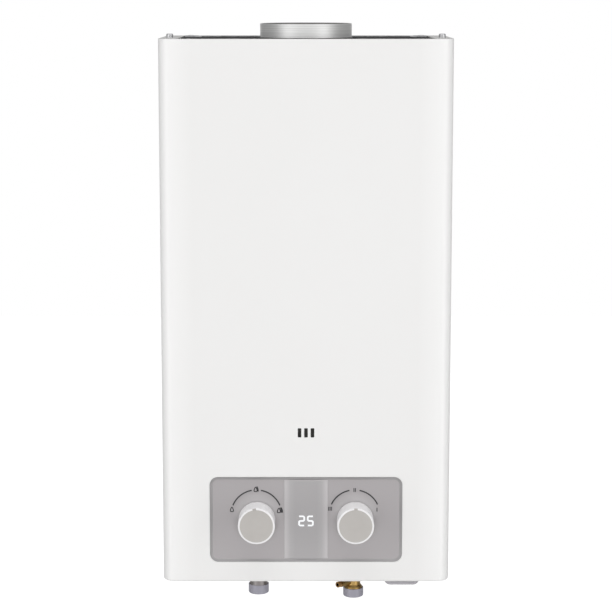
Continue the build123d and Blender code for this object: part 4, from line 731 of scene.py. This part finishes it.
GASKET = ((0.1, 0.0), (5.8, 0.0), (6.2, 0.4), (6.2, 1.3), (5.6, 1.7), (2.4, 1.8), (1.6, 2.4), (1.2, 3.6),
          (0.7, 4.0), (0.1, 3.8))  # out from the collar, height


def collar_rows():
    """Outline of the strip, up the outside and down the inside."""
    inner = FLUE_R - FLUE_WALL
    pairs = [(radius, FLUE_FOOT_Z + rise) for radius, rise in COLLAR_FOOT]
    pairs += [(FLUE_R - depth, BEAD_Z + rise) for depth, rise in COLLAR_BEAD]
    pairs.append((FLUE_R, COLLAR_MID_Z))
    pairs += [(FLUE_R - depth, FLUE_TOP_Z + rise) for depth, rise in COLLAR_RIM]
    pairs.append((inner, COLLAR_MID_Z))
    pairs += [(inner - depth, BEAD_Z + rise) for depth, rise in reversed(COLLAR_BEAD)]
    pairs.append((inner, FLUE_FOOT_Z))
    return rows_of("round", *pairs)


def collar_seam():
    """Lap strip inside the collar, with two rivet heads."""
    inner = FLUE_R - FLUE_WALL
    outline = ((inner + SEAM_SINK, SEAM_LOW_Z), (inner + SEAM_SINK, SEAM_HIGH_Z),
               (inner - SEAM_T, SEAM_HIGH_Z), (inner - SEAM_T, SEAM_LOW_Z))
    rings = []
    for i in range(SEAM_STEPS + 1):
        angle = math.radians(90 - SEAM_HALF_ANGLE + 2 * SEAM_HALF_ANGLE * i / SEAM_STEPS)
        rings.append([(r * math.cos(angle), FLUE_Y + r * math.sin(angle), z) for r, z in outline])
    parts = [ring_stack(rings, False)]
    for z in SEAM_RIVETS_Z:
        base = (0, FLUE_Y + inner - SEAM_T, z)
        parts.append(turned_along(SEAM_RIVET, base, (0, -1, 0), (0, 0, 1), SEAM_RIVET_SEGMENTS))
    return joined(parts)


collar = new_piece("flue_collar_rolled", *turned(collar_rows(), (0, FLUE_Y), FLUE_SEGMENTS),
                   FINISHES["collar_metal"], "case", "collar_metal")
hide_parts("flue_collar")
new_piece("flue_collar_lap", *collar_seam(), FINISHES["collar_metal"], "case", "collar_metal")

gasket_rows = rows_of("round", *[(FLUE_R + out, GASKET_Z + rise) for out, rise in GASKET])
new_piece("flue_gasket", *turned(gasket_rows, (0, FLUE_Y), FLUE_SEGMENTS), FINISHES["rubber"], "case",
          "rubber")


# Threaded pipe fittings

THREAD_STEPS = 8  # rows to a turn
FITTING_SEGMENTS = 72
INLET_NECK_D = 13.0
INLET_BORE_D = 9.0
END_CHAMFER = 0.3
NECK_CHAMFER = 0.2
BORE_CHAMFER = 0.6
THREAD_LEAD = 0.8  # plain length before the lower thread
THREAD_RUNOUT = 0.6  # plain length after a thread
HEAD_BEVEL = ((0.6, 0.0), (0.15, 0.8), (0.0, 1.2))  # in from the flats, height
HEAD_EDGE = 0.1
GAS_SHOULDER = ((9.9, -315.9), (10.2, -315.5), (10.2, -314.6), (9.9, -314.0), (8.6, -308.5), (6.5, -302.5))
COLD_SHOULDER = ((9.9, -320.2), (10.2, -319.8), (10.2, -318.6), (10.0, -317.6), (9.4, -316.2),
                 (DRAIN_RING_R + 0.2, -315.0), (DRAIN_RING_R + 0.05, -315.0),
                 (DRAIN_RING_R + 0.05, -318.2), (6.5, -318.2))


def thread_rows(z_low, z_high):
    """Rows up a thread at equal steps."""
    steps = int(round((z_high - z_low) / (THREAD_PITCH / THREAD_STEPS)))
    return [("thread", THREAD_D / 2, z_low + (z_high - z_low) * i / steps) for i in range(steps + 1)]


def fitting_rows(z_end, neck_z, neck_d, z_top, bore_d, shoulder=(), seat_d=None, seat_l=0.0):
    """Outline of a fitting: lower thread, neck, thread through the nut, six-sided head, bore."""
    root = THREAD_D / 2 - THREAD_DEPTH
    half_af = FITTING_AF / 2
    head_z = z_top - FITTING_HEAD
    bore_r = bore_d / 2
    rows = rows_of("round", (root - END_CHAMFER, z_end), (root, z_end + END_CHAMFER))
    rows += thread_rows(z_end + THREAD_LEAD, neck_z - THREAD_RUNOUT)
    rows += rows_of("round", (root, neck_z - NECK_CHAMFER), (root - NECK_CHAMFER, neck_z))
    rows += rows_of("round", *(shoulder or [(neck_d / 2, neck_z)]))
    rows += rows_of("round", (neck_d / 2, NUT_FLOOR_Z), (root, NUT_FLOOR_Z))
    rows += thread_rows(NUT_FLOOR_Z + END_CHAMFER, NUT_TOP_Z)
    face, *bevel = [(half_af - depth, head_z + rise) for depth, rise in HEAD_BEVEL]
    rows += rows_of("round", (root, NUT_TOP_Z + THREAD_RUNOUT), (root, head_z), face)
    rows += rows_of("hex", *bevel, (half_af, z_top - HEAD_EDGE), (half_af, z_top))
    rows += rows_of("round", (bore_r, z_top))
    if seat_d:
        seat_z = z_end + seat_l
        rows += rows_of("round", (bore_r, seat_z), (seat_d / 2, seat_z), (seat_d / 2, z_end))
    else:
        rows += rows_of("round", (bore_r, z_end + BORE_CHAMFER), (bore_r + BORE_CHAMFER, z_end))
    return rows


FITTINGS = {
    "gas_inlet_fitting": ((-KNOB_X, INLET_Y), fitting_rows(
        z_end=-323.6, neck_z=-316.3, neck_d=INLET_NECK_D, z_top=VALVE_FLOOR_Z, bore_d=INLET_BORE_D,
        shoulder=GAS_SHOULDER)),
    "cold_inlet_fitting": ((KNOB_X, INLET_Y), fitting_rows(
        z_end=-327.4, neck_z=-320.6, neck_d=INLET_NECK_D, z_top=VALVE_FLOOR_Z, bore_d=INLET_BORE_D,
        shoulder=COLD_SHOULDER, seat_d=14.0, seat_l=5.2)),
    "hot_outlet_fitting": ((HOT_X, HOT_Y), fitting_rows(
        z_end=-323.0, neck_z=-302.0, neck_d=18.955, z_top=HOT_TOP_Z, bore_d=14.0)),
}
for node_name, (centre, rows) in FITTINGS.items():
    piece = new_piece(node_name + "_threaded", *turned(rows, centre, FITTING_SEGMENTS),
                      node_finish(node_name), "case", node_slot[node_name])
    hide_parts(node_name)


# Small fixings: hexagon washer-head screws, flat rivets, and two tongues on the top plate

SCREW_HEAD = (rows_of("round", (4.6, 0.0), (4.6, 0.5), (4.3, 0.8), (3.3, 0.95))
              + rows_of("hex", (2.75, 1.0), (2.75, 3.2), (2.6, 3.5))
              + rows_of("round", (2.3, 3.7), (1.6, 3.3), (0.3, 3.2)))
FLAT_RIVET = rows_of("round", (3.4, 0.0), (3.4, 0.2), (3.1, 0.5), (2.2, 0.7), (1.3, 0.75), (1.2, 0.5),
                     (0.2, 0.5))
FIXING_SEGMENTS = 24
TAB_TOP_Z = TOP_PLATE_Z + 1.3
TAB_SQUARE = 0.3  # height of the tongues' upright foot
TAB_EDGE = 0.1
TAB_FOOT = ((136.2, -1.2), (136.2, -33.0), (135.2, -34.0), (122.0, -34.0), (118.5, -31.0), (117.0, -26.0),
            (117.0, -1.2))
TAB_CROWN = ((135.9, -1.4), (135.9, -32.8), (134.9, -33.7), (125.0, -33.7), (122.5, -30.5), (121.5, -26.0),
             (121.5, -1.4))
FLOOR_SCREWS = ((-138.0, -140.0), (-138.0, -20.0), (138.0, -140.0), (138.0, -20.0), (0.0, -148.0))
FRONT_RIVETS = ((-124.0, -148.0), (124.0, -148.0))
TAB_RIVETS = ((-129.0, -18.0), (129.0, -18.0))


def fixings(name, head, spots, axis):
    parts = [turned_along(head, spot, axis, (0, 1, 0), FIXING_SEGMENTS) for spot in spots]
    new_piece(name, *joined(parts), FINISHES["steel"], "case", "steel", smooth=30.0)


def rear_tabs():
    """Tongues riveted down on the top plate, one in each rear corner, with a sloping inner end."""
    levels = ((TAB_FOOT, TOP_PLATE_Z), (TAB_FOOT, TOP_PLATE_Z + TAB_SQUARE),
              (TAB_CROWN, TAB_TOP_Z - TAB_EDGE), (TAB_CROWN, TAB_TOP_Z))
    parts = []
    for side in (-1, 1):
        rings = [[(side * x, y, z) for x, y in outline] for outline, z in levels]
        parts.append(ring_stack(rings, False))
    return joined(parts)


floor_spots = [(x, y, BOTTOM_PLATE_Z) for x, y in FLOOR_SCREWS]
fixings("bottom_plate_screws", SCREW_HEAD, floor_spots, (0, 0, -1))
top_spots = [(x, y, TOP_PLATE_Z) for x, y in FRONT_RIVETS] + [(x, y, TAB_TOP_Z) for x, y in TAB_RIVETS]
fixings("top_plate_rivets", FLAT_RIVET, top_spots, (0, 0, 1))
new_piece("rear_tabs", *rear_tabs(), FINISHES["tab_steel"], "case", "galvanised", smooth=25.0)


# Grip ridges under the battery door

RIDGE_COUNT = 5
RIDGE_START = -8.0
RIDGE_PITCH = 2.4
RIDGE_SINK = 0.05
RIDGE_FLARE = 0.2
RIDGE_CREST = 0.6  # share of the half width that is left at the crest
# Place across the door, half width, height
RIDGE_SECTIONS = ((-9.0, 0.2, 0.2), (-8.6, 0.55, 0.7), (8.6, 0.55, 0.7), (9.0, 0.2, 0.2))


def door_grip():
    parts = []
    for i in range(RIDGE_COUNT):
        y = BATTERY_Y + RIDGE_START + i * RIDGE_PITCH
        rings = []
        for x, half, height in RIDGE_SECTIONS:
            root_z = DOOR_FLOOR_Z + RIDGE_SINK
            crest_z = DOOR_FLOOR_Z - height
            outline = ((-half - RIDGE_FLARE, root_z), (-half * RIDGE_CREST, crest_z),
                       (half * RIDGE_CREST, crest_z), (half + RIDGE_FLARE, root_z))
            rings.append([(BATTERY_X + x, y + dy, z) for dy, z in outline])
        parts.append(ring_stack(rings, False))
    return joined(parts)


new_piece("battery_door_grip", *door_grip(), FINISHES["door_plastic"], "battery_hatch", "cap_plastic")


# Stage, in metres: floor, world, dark cards at the sides, lamps and camera

FLOOR_Z = -1.0
FLOOR_HALF = 6.0
FLOOR_GREY = 0.6
FLOOR_GLOW = 0.9
WORLD_LEVEL = 0.32
FLAG_LEVEL = 0.42
FLAG_X = 0.9
FLAG_Y = (-0.45, 1.6)
FLAG_Z = (-0.95, 1.7)
WHITE = (1.0, 1.0, 1.0, 1.0)

# Name, place, target, width, height, watts, and whether gloss shows it
LAMPS = (
    ("key_left", (-1.25, -1.35, -0.15), (0, -0.1, -0.1), 0.62, 2.0, 5.9, True),
    ("key_right", (1.25, -1.35, -0.15), (0, -0.1, -0.1), 0.62, 2.0, 6.4, True),
    ("front", (0, -2.5, 0.24), (0, -0.1, -0.1), 0.7, 0.5, 17.6, False),
    ("overhead", (0, -0.9, 2.0), (0, -0.1, 0), 1.6, 0.8, 12.0, False),
    ("fill_left", (-2.0, -0.17, -0.1), (0, -0.17, -0.1), 0.8, 1.6, 3.9, False),
    ("fill_right", (2.0, -0.17, -0.1), (0, -0.17, -0.1), 0.8, 1.6, 3.9, False),
)
CAMERA_PLACE = (0.0, -2.3, 0.345)
CAMERA_PITCH = 8.893
CAMERA_LENS = 118.53
SENSOR_W = 36.0


def seen_rays(tree):
    """1 for what the camera, gloss or glass sees, 0 for light on the object."""
    path = tree.nodes.new("ShaderNodeLightPath")
    total = path.outputs["Is Camera Ray"]
    for kind in ("Is Glossy Ray", "Is Transmission Ray"):
        add = tree.nodes.new("ShaderNodeMath")
        add.operation = "ADD"
        add.use_clamp = True
        tree.links.new(total, add.inputs[0])
        tree.links.new(path.outputs[kind], add.inputs[1])
        total = add.outputs[0]
    return total


def flat_card(name, corners):
    """Flat object with an empty material, and that material's node tree."""
    mesh = bpy.data.meshes.new(name)
    mesh.from_pydata(corners, [], [(0, 1, 2, 3)])
    card = bpy.data.objects.new(name, mesh)
    bpy.context.scene.collection.objects.link(card)
    material = bpy.data.materials.new(name)
    mesh.materials.append(material)
    return card, cleared_tree(material)


def stage_floor():
    """Pale floor that keeps shadows, looks white from above and can be seen through from below."""
    h = FLOOR_HALF
    floor, tree = flat_card("floor", [(-h, -h, FLOOR_Z), (h, -h, FLOOR_Z), (h, h, FLOOR_Z), (-h, h, FLOOR_Z)])
    out = tree.nodes.new("ShaderNodeOutputMaterial")
    matt = tree.nodes.new("ShaderNodeBsdfDiffuse")
    matt.inputs["Color"].default_value = (FLOOR_GREY, FLOOR_GREY, FLOOR_GREY, 1.0)
    glow = tree.nodes.new("ShaderNodeEmission")
    level = tree.nodes.new("ShaderNodeMath")
    level.operation = "MULTIPLY"
    level.inputs[1].default_value = FLOOR_GLOW
    tree.links.new(seen_rays(tree), level.inputs[0])
    tree.links.new(level.outputs[0], glow.inputs["Strength"])
    both = tree.nodes.new("ShaderNodeAddShader")
    tree.links.new(matt.outputs[0], both.inputs[0])
    tree.links.new(glow.outputs[0], both.inputs[1])
    clear = tree.nodes.new("ShaderNodeBsdfTransparent")
    side = tree.nodes.new("ShaderNodeNewGeometry")
    mix = tree.nodes.new("ShaderNodeMixShader")
    tree.links.new(side.outputs["Backfacing"], mix.inputs[0])
    tree.links.new(both.outputs[0], mix.inputs[1])
    tree.links.new(clear.outputs[0], mix.inputs[2])
    tree.links.new(mix.outputs[0], out.inputs["Surface"])


def stage_world():
    """Soft light on the object, white to the camera, gloss and glass."""
    world = bpy.data.worlds.new("studio")
    bpy.context.scene.world = world
    tree = cleared_tree(world)
    out = tree.nodes.new("ShaderNodeOutputWorld")
    soft = tree.nodes.new("ShaderNodeBackground")
    soft.inputs["Color"].default_value = WHITE
    soft.inputs["Strength"].default_value = WORLD_LEVEL
    white = tree.nodes.new("ShaderNodeBackground")
    white.inputs["Color"].default_value = WHITE
    white.inputs["Strength"].default_value = 1.0
    mix = tree.nodes.new("ShaderNodeMixShader")
    tree.links.new(seen_rays(tree), mix.inputs[0])
    tree.links.new(soft.outputs[0], mix.inputs[1])
    tree.links.new(white.outputs[0], mix.inputs[2])
    tree.links.new(mix.outputs[0], out.inputs["Surface"])


def stage_flag(name, x):
    """Grey card that only gloss sees, so that metal and rounded edges have something dark to show."""
    (y_front, y_back), (z_low, z_high) = FLAG_Y, FLAG_Z
    card, tree = flat_card(name, [(x, y_front, z_low), (x, y_back, z_low), (x, y_back, z_high),
                                  (x, y_front, z_high)])
    out = tree.nodes.new("ShaderNodeOutputMaterial")
    grey = tree.nodes.new("ShaderNodeEmission")
    grey.inputs["Color"].default_value = WHITE
    grey.inputs["Strength"].default_value = FLAG_LEVEL
    tree.links.new(grey.outputs[0], out.inputs["Surface"])
    card.visible_camera = False
    card.visible_diffuse = False
    card.visible_transmission = False
    card.visible_shadow = False


def stage_lamp(name, place, target, width, height, power, is_glossy):
    data = bpy.data.lights.new(name, "AREA")
    data.shape = "RECTANGLE"
    data.size = width
    data.size_y = height
    data.energy = power
    light = bpy.data.objects.new(name, data)
    light.location = place
    light.rotation_euler = (Vector(target) - Vector(place)).to_track_quat("-Z", "Y").to_euler()
    light.visible_glossy = is_glossy
    bpy.context.scene.collection.objects.link(light)


def stage_camera():
    data = bpy.data.cameras.new("camera")
    data.sensor_width = SENSOR_W
    data.lens = CAMERA_LENS
    camera = bpy.data.objects.new("camera", data)
    camera.location = CAMERA_PLACE
    camera.rotation_euler = (math.radians(90.0 - CAMERA_PITCH), 0.0, 0.0)
    bpy.context.scene.collection.objects.link(camera)
    bpy.context.scene.camera = camera


stage_floor()
stage_world()
stage_flag("flag_left", -FLAG_X)
stage_flag("flag_right", FLAG_X)
for lamp in LAMPS:
    stage_lamp(*lamp)
stage_camera()
bpy.context.scene.view_settings.view_transform = "Standard"
